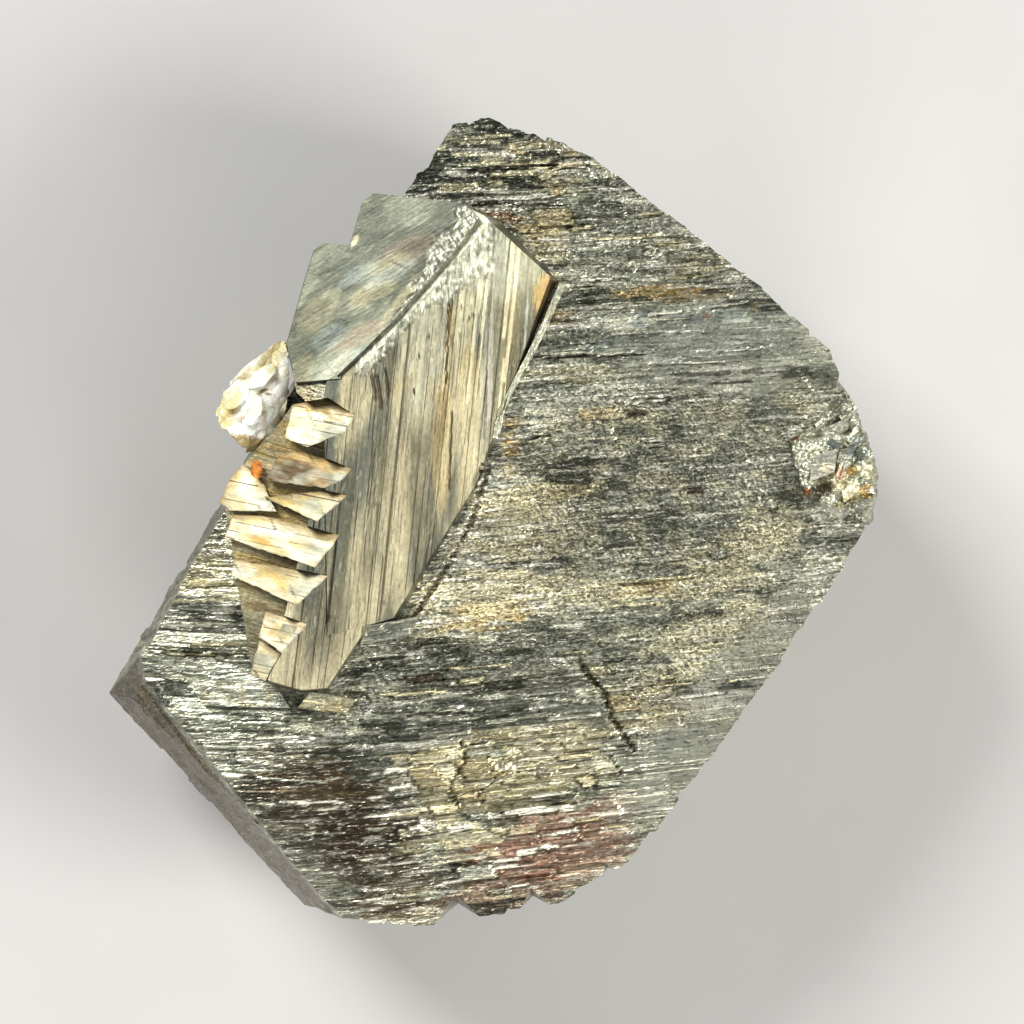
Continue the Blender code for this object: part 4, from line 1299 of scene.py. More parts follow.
    def side_faces(self) -> dict[str, Face]:
        """The faces round the sides and back, by name."""
        faces = {}
        for number, (corner, following) in enumerate(zip(self.outline, self.outline[1:])):
            x, y = (corner[0] + following[0]) / 2, (corner[1] + following[1]) / 2
            faces[f"side_{number}"] = wall(corner[:2], following[:2], float(self.front_at(x, y)), corner[2])
        first, last, edge = ((*point, float(self.front_at(*point))) for point in (
            self.south_west_corner, self.bevel_lower_end, self.west_edge))
        faces["bevel"] = face_through((first, last, self.bevel_foot), (-1, -1, 1))
        faces["south_west"] = wall(*self.south_west_wall)
        faces["west_tip"] = face_through((edge, self.west_tip, first), (-1, 0, 0))
        for number, (point, turn, height, slope) in enumerate(self.back_bevels):
            tilt = math.radians(slope)
            normal = heading(turn) * math.sin(tilt) - Vector((0, 0, math.cos(tilt)))
            faces[f"back_{number}"] = Face(Vector((*point, height)), normal)
        return faces

    def side_relief(self, name: str, face: Face, number: int) -> Relief:
        """Relief of one side or back face: growth steps that run up it.

        Args:
            name: name of the face.
            face: the face.
            number: its number, which picks the steps.

        Returns:
            The relief.
        """
        calm = 0.6 if name in ("south_west", "west_tip") else 1.0
        broad = Striae(200 + number, (0.6, 2.6), 11.0, 0.13 * calm, 0.04)
        narrow = Striae(230 + number, (0.25, 0.8), 5.0, 0.05 * calm, 0.14 * calm)
        if name == "bevel":
            along = heading(312)
        elif name.startswith("back"):
            along = heading(self.back_bevels[int(name[5:])][1] + 90)
        else:
            along = Vector((0.12, 0.1, 1.0))

        def relief(u: Array, v: Array) -> Array:
            """Steps of the face, sunk below it so that the outline stays."""
            away = broad.height(u, v) + narrow.height(u, v)
            return away - 0.18 * calm - 0.02

        reach = 14.5 if name == "side_12" else 8.5
        return relief_round(face, along, self.middle_of(name, face), (-11.0, 11.0), (-reach, reach),
                            (0.6, 0.16), relief)

    def middle_of(self, name: str, face: Face) -> Vector:
        """Rough middle of a side or back face.

        Args:
            name: name of the face.
            face: the face.

        Returns:
            The middle.
        """
        if name.startswith("side"):
            first, second = self.outline[int(name[5:])], self.outline[int(name[5:]) + 1]
            return Vector(((first[0] + second[0]) / 2, (first[1] + second[1]) / 2, 8.0))
        if name == "south_west":
            return Vector((-12.9, -14.6, 8.0))
        if name == "bevel":
            return Vector((-14.8, -11.5, 13.0))
        return Vector(face.point)

    def build(self) -> Piece:
        """Cut the crystal, its notches and its pocket."""
        sides = self.side_faces()
        piece = self.front().block()
        piece.name = "main_crystal"
        for number, (name, face) in enumerate(sides.items()):
            combine(piece, self.side_relief(name, face, number).block(), "INTERSECT")
        steps = Striae(291, (0.5, 2.4), 9.0, 0.16, 0.03)
        combine(piece, Relief(
            under(0.0), heading(4), (-20.0, 20.0), (-20.0, 20.0), (0.6, 0.2),
            lambda u, v: np.minimum(steps.height(u, v), 0.0)).block(), "INTERSECT")
        for pit in self.base_pits:
            combine(piece, self.base_pit(*pit), "DIFFERENCE")
        for x, y, half_angle, turn in self.notches:
            combine(piece, self.notch(x, y, half_angle, turn), "DIFFERENCE")
        for number, plan in enumerate(self.pocket_plans):
            combine(piece, self.pocket(number, plan), "DIFFERENCE")
        return piece

    def base_pit(self, x: float, y: float, long: float, wide: float, turn: float,
                 depth: float) -> Piece:
        """A rhombic pit in the resting face.

        Args:
            x, y: its middle.
            long: its length.
            wide: its width.
            turn: heading of its length.
            depth: its depth.

        Returns:
            The tool that cuts it.
        """
        top = Face(Vector((x, y, depth)), Vector((0.05, -0.07, 1.0)).normalized())
        return cut_block("base_pit", walls(rhomb_plan(x, y, long, wide, turn, 62.0), 0.0, [0.0] * 4)
                         + [top, under(-2.0)])

    def notch(self, x: float, y: float, half_angle: float, turn: float) -> Piece:
        """A wedge that opens away from its apex.

        Args:
            x, y: its apex.
            half_angle: half its opening.
            turn: degrees that it is turned from straight down.

        Returns:
            The tool that cuts it.
        """
        middle = -90.0 + turn
        apex = Vector((x, y, 0.0))
        left, right = (apex + heading(middle + side * half_angle) * 6.0 for side in (-1, 1))
        corners = [(apex.x, apex.y), (left.x, left.y), (right.x, right.y)]
        return cut_block("notch", walls(corners, self.front_height, [-4.0, 0.0, -4.0])
                         + [sheet(22.0, 0, 0), under(-2.0)])

    def pocket(self, number: int, plan: Outline) -> Piece:
        """The broken hollow in the right-hand edge."""
        return cut_block("pocket", walls(plan, self.front_height, [-12.0] * len(plan))
                         + [sheet(19.0, 0, 0), under(15.4 + 0.15 * number, -0.15)])

    def dress(self, piece: Piece) -> None:
        """Tint the crystal, with painted shade and highlights on its steps and ledges, and give it its satin
        finish.

        Args:
            piece: the crystal.
        """
        paint = paint_of(piece)
        x, y, z = paint.points.T
        u, v = x, GRAIN.across(x, y)
        front = smooth(z - self.front_at(x, y), -0.9, -0.5)
        fray = (1.0 * (cloud(u * 0.35, v * 1.6, 11) - 0.5) + 0.9 * (cloud(u * 0.9, v * 5.0, 12) - 0.5)
                + 0.5 * (cloud(u * 3.0, v * 11.0, 15) - 0.5))
        paint.clouds(SILVER, 0.5 * front, u * 0.14, v * 1.1, 13, (0.47, 0.6))
        paint.clouds(SLATE, 0.6 * front, u * 0.14, v * 1.0, 14, (0.5, 0.62))
        paint.patches(FRONT_PATCHES, fray, front)
        speckled = np.maximum(spot(x, y, (8.5, 1.5), (8.0, 6.0), (0.6, 1.2)),
                              0.7 * spot(x, y, (11.5, -6.5), (6.0, 5.0), (0.6, 1.2))) * front
        calm = spot(x, y, (12.0, 9.0), (7.0, 3.2), (0.5, 1.2), 0.5 * fray) * front
        along, across = turned(x - self.margin_middle[0], y - self.margin_middle[1], self.margin_turn)
        margin = spot(along, across, (0.0, -0.3), (9.0, 1.9), (0.6, 1.2), 0.4 * fray) * front
        blocks = spot(x, y, (1.0, -13.5), (8.0, 5.5), (0.7, 1.3), 0.3 * fray) * front
        corner = spot(x, y, (-8.5, -15.5), (4.5, 5.0), (0.6, 1.3)) * front
        steps = 0.5 * self.middle.tone(u, v) + 0.5 * self.fine.tone(u, v)
        plain = np.maximum(calm, margin)
        flank = smooth(x + 0.6 * y, -11.0, -17.0) * front
        paint.blend(SILVER, 0.5 * margin)
        paint.shade((1.0 - 0.2 * corner) * (
            1.0 + front * (1.5 - 1.1 * speckled - 0.7 * plain - 0.6 * corner).clip(0.3) * (steps - 0.5)))
        rough = smooth(self.roughness_at(x, y), 0.4, 1.1) * front
        # painted shade and painted highlight: where the steps rise across the striations the face looks away
        # from the key light and is darkened with graphite; where they fall it is lightened with white
        shading_slope = (self.steps(u, v + 0.07) - self.steps(u, v - 0.07)) * self.roughness_at(x, y)
        gentle = np.max([speckled, plain, 0.9 * corner, 0.6 * flank], axis=0)
        paint.blend(GRAPHITE, (0.7 - 0.45 * gentle) * smooth(shading_slope, 0.03, 0.08) * front)
        paint.blend(WHITE, (0.6 - 0.35 * gentle) * smooth(-shading_slope, 0.04, 0.09) * front)
        curds = cloud(x * 0.9 + 0.4 * y, y * 1.1, 19, 4)
        paint.blend(CREAM, 0.32 * smooth(curds, 0.5, 0.62) * speckled)
        paint.blend(GRAPHITE, 0.2 * smooth(curds, 0.47, 0.38) * speckled)
        pale = smooth(self.middle.tone(u, v), 0.84, 0.87) * smooth(self.fine.tone(u, v), 0.35, 0.4)
        paint.blend(CREAM, 0.7 * pale * rough)
        deep = smooth(self.middle.tone(u, v), 0.15, 0.12) * smooth(self.fine.tone(u, v), 0.6, 0.5)
        paint.blend(GRAPHITE, 0.7 * deep * front)
        paint.patches(FRONT_FIELDS, fray, front)
        hairs = smooth(cloud(u * 0.5, v * 6.0, 18, 2), 0.66, 0.72)
        paint.blend(WHITE, 0.6 * hairs * front)
        paint.ledges(FRONT_LEDGES, front)
        paint.cracks(FRONT_CRACKS_AND_SHADOW_LINE, front)
        self.dress_sides(paint, 1.0 - front)
        sparks = (spot(x, y, (-0.5, 18.0), (5.0, 3.0), (0.6, 1.2))
                  + spot(x, y, (-6.0, -17.5), (5.0, 3.5), (0.6, 1.2))) * front
        paint.values = {
            "etched": speckled, "pitted": 0.35 + 0.5 * front,
            "sparkle": np.clip(0.25 + 0.3 * front + sparks, 0, 1),
            "calm": np.max([0.6 * calm, 0.8 * margin, 0.6 * blocks, 0.5 * flank, 0.55 * corner], axis=0)}
        paint.put(piece)
        satin = MetalFinish("satin_arsenopyrite_front", 4.5, 0.5, 0.62).material()
        finish(piece, satin, ["arsenopyrite_crystals"])

    def dress_sides(self, paint: Paint, side: Array) -> None:
        """Tint the sides and back with upright streaks and clouds, and paint a dark brown reflection onto the
        faces that look south-west.

        Args:
            paint: the crystal's paint.
            side: how far each point belongs to the sides.
        """
        z = paint.points[:, 2]
        along = paint.along_wall()
        paint.blend(SLATE, 0.55 * side)
        paint.clouds(OLIVE, 0.6 * side, along * 0.3, z * 0.35, 24, (0.45, 0.62))
        paint.clouds(SAND, 0.5 * side, along * 0.5, z * 0.22, 25, (0.56, 0.7))
        paint.clouds(SILVER, 0.6 * side, along * 2.2, z * 0.14, 26, (0.56, 0.66))
        paint.clouds(GRAPHITE, 0.6 * side, along * 2.0, z * 0.12, 27, (0.45, 0.33))
        paint.clouds(BRONZE, 0.45 * side, along * 0.8, z * 0.5, 28, (0.56, 0.68))
        # painted reflection: the faces that look south-west are tinted bronze and umber, the dark brown of a
        # reflection in them
        south_west = smooth(-paint.normals @ np.array((0.7, 0.7, 0.0)), 0.35, 0.7) * side
        paint.blend(BRONZE, 0.35 * south_west)
        paint.blend(UMBER, 0.65 * south_west)


# ---- Twin crystal: striated face, smooth roof and the stack of lozenge plates ----

TWIN_FACE = (14.55, -0.4525, 0.1826)
ROOF_FACE = (24.37, 0.2633, -0.4342)
TWIN_HEADING = 267.5

CRUSHED_BAND = (
    (-1, 14.7, 1.5, 1.1, 70), (-1.7, 13.2, 1.7, 1.6, 60), (-2.8, 12, 1.5, 1.05, 55),
    (-4.1, 10.6, 1.4, 0.5, 50), (-5.8, 8.5, 1.7, 0.4, 50),
)

TWIN_PATCHES = (
    (-3.6, 7.8, 3.4, 1.5, 80, CREAM, 0.9), (-1.6, 9.2, 2.6, 0.62, 88, CREAM, 0.9),
    (-2.15, 8.6, 2.9, 0.1, 88, GOLD, 0.9), (-1.3, 6.5, 2.4, 0.7, 88, GOLD, 0.5),
    (-2.6, 4.2, 3.4, 0.55, 88, GOLD, 0.75), (-1.4, 4.4, 2.8, 0.5, 88, SAND, 0.8),
    (-3.5, 3.6, 2.4, 0.6, 85, BUFF, 0.4), (-0.6, 7.6, 4.4, 0.16, 88, SILVER, 0.9),
    (-0.25, 7.2, 4, 0.12, 88, WHITE, 0.8), (0.2, 9.4, 3, 0.28, 88, OLIVE, 0.6),
    (0.85, 8.9, 3.4, 0.42, 87, BRONZE, 0.75), (1.05, 9.6, 2.6, 0.2, 87, GOLD, 0.6),
    (1.55, 9.8, 1.8, 0.07, 87, WHITE, 0.8), (2, 10.1, 1.1, 0.22, 85, BRONZE, 0.7),
    (2.45, 11.5, 0.9, 0.55, 75, GOLD, 0.95), (2.5, 11.9, 0.4, 0.25, 75, RUST, 0.35),
    (0.6, 12.9, 1.8, 1.6, 60, SILVER, 0.6), (1.4, 12.6, 1.3, 0.7, 90, SAND, 0.5),
    (-5.6, 3, 4.2, 1.4, 88, STEEL, 0.55), (-4.5, 1.6, 3.4, 0.5, 88, BRONZE, 0.5),
    (-5.6, 1, 3.4, 0.7, 92, OLIVE, 0.6), (-3.6, 0.2, 2.6, 0.4, 88, SAND, 0.6),
    (-6.8, -2.5, 3.6, 1.2, 80, OLIVE, 0.45), (-8.6, -5.5, 2.8, 1.1, 75, BRONZE, 0.35),
    (-5.6, -3.2, 2.6, 0.8, 75, STEEL, 0.5), (-6.6, 3.6, 2, 0.8, 95, STEEL, 0.5),
    (-4.6, 6.8, 0.9, 0.35, 40, GOLD, 0.5), (-6.3, 5.7, 0.9, 0.3, 70, CREAM, 0.8),
    (-5.7, 6.4, 1, 0.35, 60, SAND, 0.5), (-3, 6.6, 0.6, 0.5, 90, GOLD, 0.5),
    (-0.7, 3.4, 0.8, 0.5, 60, CREAM, 0.7),
)

TWIN_LEDGES = [Ledge(*row) for row in (
    (-6, 6.7, 1.2, 0.11, -80, -0.06, UMBER), (-5.72, 6.5, 1.6, 0.12, -82, -0.07, UMBER),
    (-5.35, 6.9, 1.3, 0.09, -84, -0.05, UMBER), (-3.3, 9.22, 0.5, 0.07, 35, -0.05, UMBER),
    (-2.5, 8.75, 0.32, 0.08, 50, -0.05, UMBER), (-1.15, 10.25, 0.4, 0.07, 45, -0.05, UMBER),
    (-1.6, 10.8, 0.34, 0.06, 40, -0.04, UMBER), (-2.92, 6.38, 0.1, 0.08, 0, -0.04, UMBER),
    (-4, 6.45, 0.2, 0.08, -40, -0.05, UMBER), (-3.68, 8.35, 0.34, 0.06, 35, -0.04, UMBER),
    (-0.55, 2.65, 0.45, 0.3, 60, -0.25, UMBER), (-2.35, 9, 4.4, 0.08, 88, -0.08, BRONZE),
    (-2.2, 3.6, 4, 0.07, 88, -0.06, UMBER),
)]

ROOF_PATCHES = (
    (-3.6, 15.6, 3, 1.1, 5, SLATE, 0.65), (-5.4, 14.4, 1.8, 0.9, 30, SLATE, 0.45),
    (-8.6, 12.6, 1.6, 1.3, 70, SLATE, 0.45), (-6.2, 11.4, 1.4, 0.5, 25, SAND, 0.4),
    (-5.6, 12.8, 1.1, 0.22, 28, OLIVE, 0.6), (-7, 12.2, 1.2, 0.4, 30, BLUE, 0.5),
    (-5.4, 12.2, 1.4, 0.4, 28, BLUE, 0.45), (-6.8, 9.2, 1.4, 0.4, 28, ROSE, 0.35),
    (-4.6, 13.3, 1.6, 0.6, 30, ROSE, 0.22), (-8.2, 9.2, 0.9, 0.5, 30, BLUE, 0.45),
    (-8.6, 10.6, 1.6, 0.7, 50, SAND, 0.2), (-7.6, 7.6, 1.6, 0.7, 30, SILVER, 0.5),
    (-6.7, 8.4, 0.5, 0.3, 20, BLUE, 0.6), (-9.6, 7.4, 0.9, 0.6, 70, SAND, 0.25),
    (-4.4, 11.2, 1.6, 0.4, 48, SAND, 0.4), (-8, 10.9, 0.6, 0.15, -10, SLATE, 0.5),
    (-7, 14, 0.3, 0.12, 60, CREAM, 0.7),
)


def crushed_at(x: Array, y: Array) -> Array:
    """How crushed the surface is beside the crest between the roof and the striated face."""
    fray = 0.7 * (cloud(x * 1.6, y * 1.6, 21) - 0.5)
    return np.max([Patch(*row, SILVER, 1.0).weight(x, y, fray) for row in CRUSHED_BAND], axis=0)


CRUSHED = Crumble(61, 0.26, 0.03, 0.38, 0.4)


def plan_of(axes: Matrix, u: Array, v: Array) -> tuple[Array, Array]:
    """Plan position of a point along and across a face."""
    return (axes[0][0] * u + axes[0][1] * v + axes[0][3], axes[1][0] * u + axes[1][1] * v + axes[1][3])


def local_of(axes: Matrix, points: Array) -> Array:
    """Positions along, across and over a face."""
    undo = np.array(axes.inverted())
    return points @ undo[:3, :3].T + undo[:3, 3]


@dataclass(frozen=True)
class Plate:
    """One lozenge plate of the stack: its plan, its right tip's height, and its tinted patches."""
    outline: tuple
    tip: tuple
    tip_height: float
    base: Tint
    patches: tuple


PLATES = (
    Plate(((-13.9, 1), (-13.3, 0.5), (-10.8, 0.5), (-11.7, 1), (-11.6, 2.3), (-12.6, 3.2), (-13.3, 2.3)),
          (-10.8, 0.5), 17.3, BUFF, (
              (-12.8, 1.1, 0.8, 0.4, -5, SAND, 0.6), (-12.6, 2.7, 0.7, 0.4, 30, SAND, 0.5))),
    Plate(((-13.7, -0.85), (-8.9, -2.25), (-7.9, -1), (-7.65, -0.6), (-9.8, -0.2), (-11.5, 0.5),
           (-13.2, 0.6)),
          (-7.65, -0.6), 18.2, BUFF, (
              (-11.7, -0.8, 0.7, 0.35, -15, GOLD, 0.85), (-10.4, -1.2, 2, 0.35, -16, GOLD, 0.5),
              (-12.9, 0, 0.6, 0.6, 0, SAND, 0.6), (-8.9, -1.6, 0.6, 0.4, 50, SILVER, 0.7),
              (-8.5, -0.55, 0.9, 0.3, -5, BRONZE, 0.55), (-10.5, -0.4, 1, 0.35, -15, WHITE, 0.7))),
    Plate(((-13.3, -2.75), (-9.8, -4.15), (-8.2, -2.6), (-11.5, -2.15), (-13.2, -1.6)),
          (-8.2, -2.6), 18.05, BUFF, (
              (-12.6, -2.3, 0.7, 0.4, -20, WHITE, 0.8), (-11.2, -2.9, 0.8, 0.5, -25, GOLD, 0.65),
              (-9.3, -3, 1, 0.5, 45, SILVER, 0.6), (-10.6, -2.35, 1.2, 0.2, -12, SILVER, 0.6))),
    Plate(((-11.8, -5.7), (-10.6, -6.5), (-9.2, -5), (-11.55, -4.25)),
          (-9.2, -5), 18, BUFF, (
              (-10.7, -5.5, 0.6, 0.5, 20, GOLD, 0.45), (-11.2, -4.8, 0.5, 0.4, 0, SILVER, 0.4))),
    Plate(((-12.2, -7.55), (-11.4, -7.9), (-10.6, -6.5), (-11.8, -5.7)),
          (-10.6, -6.5), 17.35, SAND, (
              (-11.4, -6.9, 1, 0.6, 60, OLIVE, 0.4), (-11, -6.6, 0.5, 0.3, 60, SILVER, 0.5))),
    Plate(((-11.6, 2), (-8.5, 1.65), (-7.65, 2), (-7, 2.7), (-9.5, 3.65), (-10.8, 3.55)),
          (-7, 2.7), 18.5, BRONZE, (
              (-10.4, 2.6, 1.3, 0.9, -10, UMBER, 0.75), (-8.3, 3, 1.2, 0.35, -24, RUST, 0.4),
              (-8.2, 2.9, 1.2, 0.4, -24, GOLD, 0.7), (-9.4, 2.2, 0.9, 0.3, 20, SILVER, 0.35),
              (-7.6, 2.4, 0.6, 0.25, 40, SILVER, 0.8))),
    Plate(((-11.6, 1.15), (-8.8, 0), (-7.2, 1.4), (-8.5, 1.65), (-11.7, 1.4)),
          (-7.2, 1.4), 18.35, SAND, (
              (-10.8, 1.2, 0.8, 0.3, -15, GOLD, 0.6), (-9.1, 0.9, 0.5, 0.45, 60, SILVER, 0.8),
              (-8, 1.55, 1, 0.2, -10, BRONZE, 0.8), (-8.5, 0.6, 0.6, 0.4, 45, CREAM, 0.7),
              (-10, 1.5, 0.8, 0.25, -10, UMBER, 0.5))),
    Plate(((-10.55, 4.1), (-9.25, 3.7), (-7.5, 4.4), (-6.8, 5.3), (-8.25, 6.2), (-10.15, 6)),
          (-6.8, 5.3), 18.9, BUFF, (
              (-8.5, 5.75, 1.1, 0.3, -15, UMBER, 0.6), (-8.3, 5.6, 1.2, 0.5, -20, BRONZE, 0.7),
              (-8, 5.9, 0.8, 0.2, -15, GOLD, 0.6), (-9.3, 5.1, 0.9, 0.4, 0, CREAM, 0.8),
              (-8.2, 4.5, 1.5, 0.3, 18, SILVER, 0.9), (-7.2, 5, 0.6, 0.3, 50, SILVER, 0.8))),
)


@dataclass
class TwinCrystal:
    """The twin that crosses the main crystal, with its roof slabs and its plates."""
    upper_plan: tuple = (
        (-8.4, -5.8), (-4.8, -4.75), (-0.75, 2.15), (2.95, 12.2), (-0.02, 15.2), (-1.5, 15.9),
        (-6.1, 16.3), (-7.1, 13.9), (-8.6, 6.3))
    upper_leans: tuple = (4, 14, 22, 8, 4, 0, 3, 2, 2)
    lower_plan: tuple = (
        (-11.3, -8.0), (-9.65, -8.45), (-8.3, -8.3), (-6.3, -5.2), (-4.6, -1.5), (-6.0, 2.0), (-9.0, 1.0))
    lower_leans: tuple = (4, 4, 4, 10, 4, 0, 0)
    west_plan: tuple = (
        (-8.3, 5.0), (-5.0, 5.0), (-4.0, 10.0), (-5.0, 13.5), (-8.4, 13.75), (-8.85, 13.5),
        (-9.3, 12.0), (-10.2, 8.9), (-9.8, 6.6))
    roof_upper_plan: tuple = (
        (-7.2, 6.4), (-5.0, 8.8), (-2.3, 12.3), (-0.6, 15.0), (-1.5, 15.9), (-6.15, 16.4), (-6.6, 15.9),
        (-7.2, 13.85), (-8.5, 8.0))
    roof_lower_plan: tuple = (
        (-8.3, 6.4), (-7.2, 6.4), (-5.9, 10.5), (-6.7, 13.7), (-8.5, 13.9), (-8.95, 13.55),
        (-9.45, 12.0), (-10.35, 8.9), (-9.85, 6.6))
    core_face: tuple = (19.9, 0.3, 0.02)
    core_plan: tuple = (
        (-12.2, -7.5), (-11.3, -8.0), (-8.9, -2.6), (-7.7, 2.7), (-7.5, 5.0), (-8.4, 6.2),
        (-10.1, 6.0), (-12.6, 3.0), (-13.6, 0.8))
    plate_slope: Span = (0.3, -0.33)
    plate_turn: float = -16.0
    plate_lean: float = 5.0
    plate_floor: float = 9.0
    overlap: float = 0.04
    broad: Striae = Striae(301, (0.5, 1.7), 3000.0, 0.055, 0.04, 0.0)
    narrow: Striae = Striae(302, (0.16, 0.7), 9.0, 0.012, 0.06, 0.3)
    hair: Striae = Striae(303, (0.1, 0.26), 3.5, 0.005, 0.06, 0.3)
    ripple: Striae = Striae(311, (0.4, 1.6), 5.0, 0.006, 0.008, 0.5)

    def crushed_relief(self, face: Face, angle: float, rise: float, steps: Callable[..., Array]) -> Field:
        """Relief of a face that is crushed along the crest.

        Args:
            face: the face.
            angle: heading of its striations.
            rise: how far the crushed grains stand over it.
            steps: its other relief, from places on the face and in the plan.

        Returns:
            The relief.
        """
        axes = face.frame(heading(angle))

        def relief(u: Array, v: Array) -> Array:
            """Relief over the face.

            Args:
                u: places along the striations.
                v: places across them.

            Returns:
                The relief.
            """
            x, y = plan_of(axes, u, v)
            crushed = crushed_at(x, y)
            return steps(u, v, x, y) * (1 - crushed) + crushed * (CRUSHED.height(x, y) + rise)

        return relief

    def face_steps(self, u: Array, v: Array, x: Array, y: Array) -> Array:
        """Growth steps and pits of the striated face."""
        lift = self.broad.height(u, v) + self.narrow.height(u, v) + self.hair.height(u, v)
        return layered(TWIN_LEDGES, x, y, lift - 0.05)

    def roof_steps(self, u: Array, v: Array, *_: Array) -> Array:
        """Soft undulations and scratches of the roof."""
        return 0.16 * (cloud(u * 0.25, v * 0.5, 23) - 0.5) + self.ripple.height(u, v) - 0.03

    def side_reliefs(self, faces: Sequence[Face], seed: int) -> list[Relief]:
        """Growth steps that run up the side faces.

        Args:
            faces: the faces.
            seed: picks the steps.

        Returns:
            Their reliefs.
        """
        reliefs = []
        for number, face in enumerate(faces):
            steps = Striae(seed + number, (0.25, 1.1), 9.0, 0.05, 0.06)
            reliefs.append(relief_round(
                face, Vector((0.1, 0.1, 1.0)), face.point, (-9.0, 9.0), (-9.0, 9.0), (0.7, 0.16),
                lambda u, v, steps=steps: steps.height(u, v) - 0.08))
        return reliefs

    def face_part(self, name: str, plan: Sequence, sides: list[Face], face: Face, angle: float) -> Piece:
        """One part of the striated face.

        Args:
            name: name of the piece.
            plan: its outline.
            sides: its plain faces.
            face: the striated face.
            angle: heading of the striations.

        Returns:
            The part.
        """
        steps = self.crushed_relief(face, angle, 0.05, self.face_steps)
        return self.make_room(cut_crystal(name, sides, [
            relief_over(face, heading(angle), plan, (0.2, 0.07), steps)]))

    def back(self) -> Piece:
        """The body under the roof, seen from the left and from behind."""
        sides = walls(self.west_plan, 15.0, (0, 0, 0, 0, -3, -3, -3, -3, -3))
        plain = sides[:4] + [sheet(*ROOF_FACE, drop=0.6), sheet(*TWIN_FACE, drop=0.3), under(3.5, -0.55)]
        return self.make_room(cut_crystal("twin_back", plain, self.side_reliefs(sides[4:], 320)))

    def roof(self, name: str, plan: Sequence, leans: Sequence, drop: float, thickness: float) -> Piece:
        """One slab of the roof; the upper one has a crumbled rim along the crest.

        Args:
            name: name of the piece.
            plan: its outline.
            leans: leans of its sides.
            drop: how far its top lies under the roof face.
            thickness: its thickness.

        Returns:
            The slab.
        """
        face, crest = sheet(*ROOF_FACE, drop=drop), heading(52)
        sides = walls(plan, 17.0, leans)
        crumbled = sides[:3] if name == "roof_slab" else []
        reliefs = []
        for side in crumbled:
            middle = side.frame(crest).inverted() @ side.point
            reliefs.append(Relief(side, crest, (-1.0, 13.0), (middle.y - 3.0, middle.y + 4.5), (0.12, 0.12),
                                  lambda u, v: 0.35 * CRUSHED.height(u, 0.45 * v)))
        steps = self.crushed_relief(face, 35, 0.06, self.roof_steps)
        reliefs.append(relief_over(face, heading(35), plan, (0.1, 0.1), steps))
        floor = under(ROOF_FACE[0] - thickness, *ROOF_FACE[1:])
        return cut_crystal(name, sides[len(crumbled):] + [floor], reliefs)

    def core(self) -> Piece:
        """The shadowed body between the plates."""
        steps = Striae(331, (0.2, 0.7), 3.0, 0.04, 0.08)
        sides = walls(self.core_plan, 15.0, [2] * len(self.core_plan))
        top = relief_over(sheet(*self.core_face), heading(-15), self.core_plan, (0.2, 0.08),
                          lambda u, v: steps.height(u, v) - 0.04)
        reliefs = self.side_reliefs(sides, 340) + [top]
        return self.make_room(cut_crystal("plate_core", [under(4.0, -0.4)], reliefs))

    def plate_face(self, plate: Plate, drop: float = 0.0) -> Face:
        """Upper face of a plate."""
        dx, dy = self.plate_slope
        return sheet(plate.tip_height - dx * plate.tip[0] - dy * plate.tip[1], dx, dy, drop)

    def plate_sides(self, plate: Plate) -> list[Face]:
        """Side faces of a plate."""
        plan = hull(plate.outline)
        return walls(plan, plate.tip_height, [-self.plate_lean] * len(plan))

    def make_room(self, piece: Piece) -> Piece:
        """Keep the space over the plates free.

        Args:
            piece: a piece behind the plates.

        Returns:
            The piece.
        """
        for plate in PLATES:
            top = self.plate_face(plate, self.overlap)
            sides = [side.moved(-self.overlap) for side in self.plate_sides(plate)]
            room = cut_block("room", sides + [sheet(26.0, 0, 0), Face(top.point, -top.normal)])
            combine(piece, room, "DIFFERENCE")
        return piece

    def plate(self, number: int, plate: Plate) -> Piece:
        """One lozenge plate with its thin growth layers.

        Args:
            number: its place in the stack.
            plate: its shape.

        Returns:
            The plate.
        """
        layers = Striae(341 + number, (0.3, 1.1), 2.6, 0.014, 0.035, 0.9)
        edge = Striae(351, (0.2, 0.7), 1.5, 0.04, 0.1)
        edges = [Relief(side, Vector((0.2, 0.1, 1.0)), (-25.0, 25.0), (-15.0, 15.0), (0.5, 0.16),
                        lambda u, v: edge.height(u, v) - 0.04) for side in self.plate_sides(plate)]
        floor = under(self.plate_floor + 0.13 * number, -0.2)
        return cut_crystal(f"lozenge_plate_{number + 1}", [floor], edges + [relief_over(
            self.plate_face(plate), heading(self.plate_turn), plate.outline, (0.12, 0.06),
            lambda u, v: layers.height(u, v) - 0.02)])

    def dress_face(self, piece: Piece, face: Face, angle: float, material: Material) -> None:
        """Streak a part of the striated face with cream, gold and gray, and paint shade onto its lower left.

        Args:
            piece: the part.
            face: the striated face.
            angle: heading of the striations.
            material: its finish.
        """
        paint = paint_of(piece)
        x, y, _ = paint.points.T
        u, v, h = local_of(face.frame(heading(angle)), paint.points).T
        narrow, hair = self.narrow.tone(u, v), self.hair.tone(u, v)
        top = smooth(h, -0.5, -0.3)
        fray = 0.5 * (cloud(v * 3.0, u * 0.25, 31) - 0.5) + 0.3 * (cloud(v * 9.0, u * 0.7, 32) - 0.5)
        paint.blend(SLATE, 1.0)
        paint.clouds(OLIVE, 0.5 * top, v * 1.2, u * 0.2, 35, (0.45, 0.62))
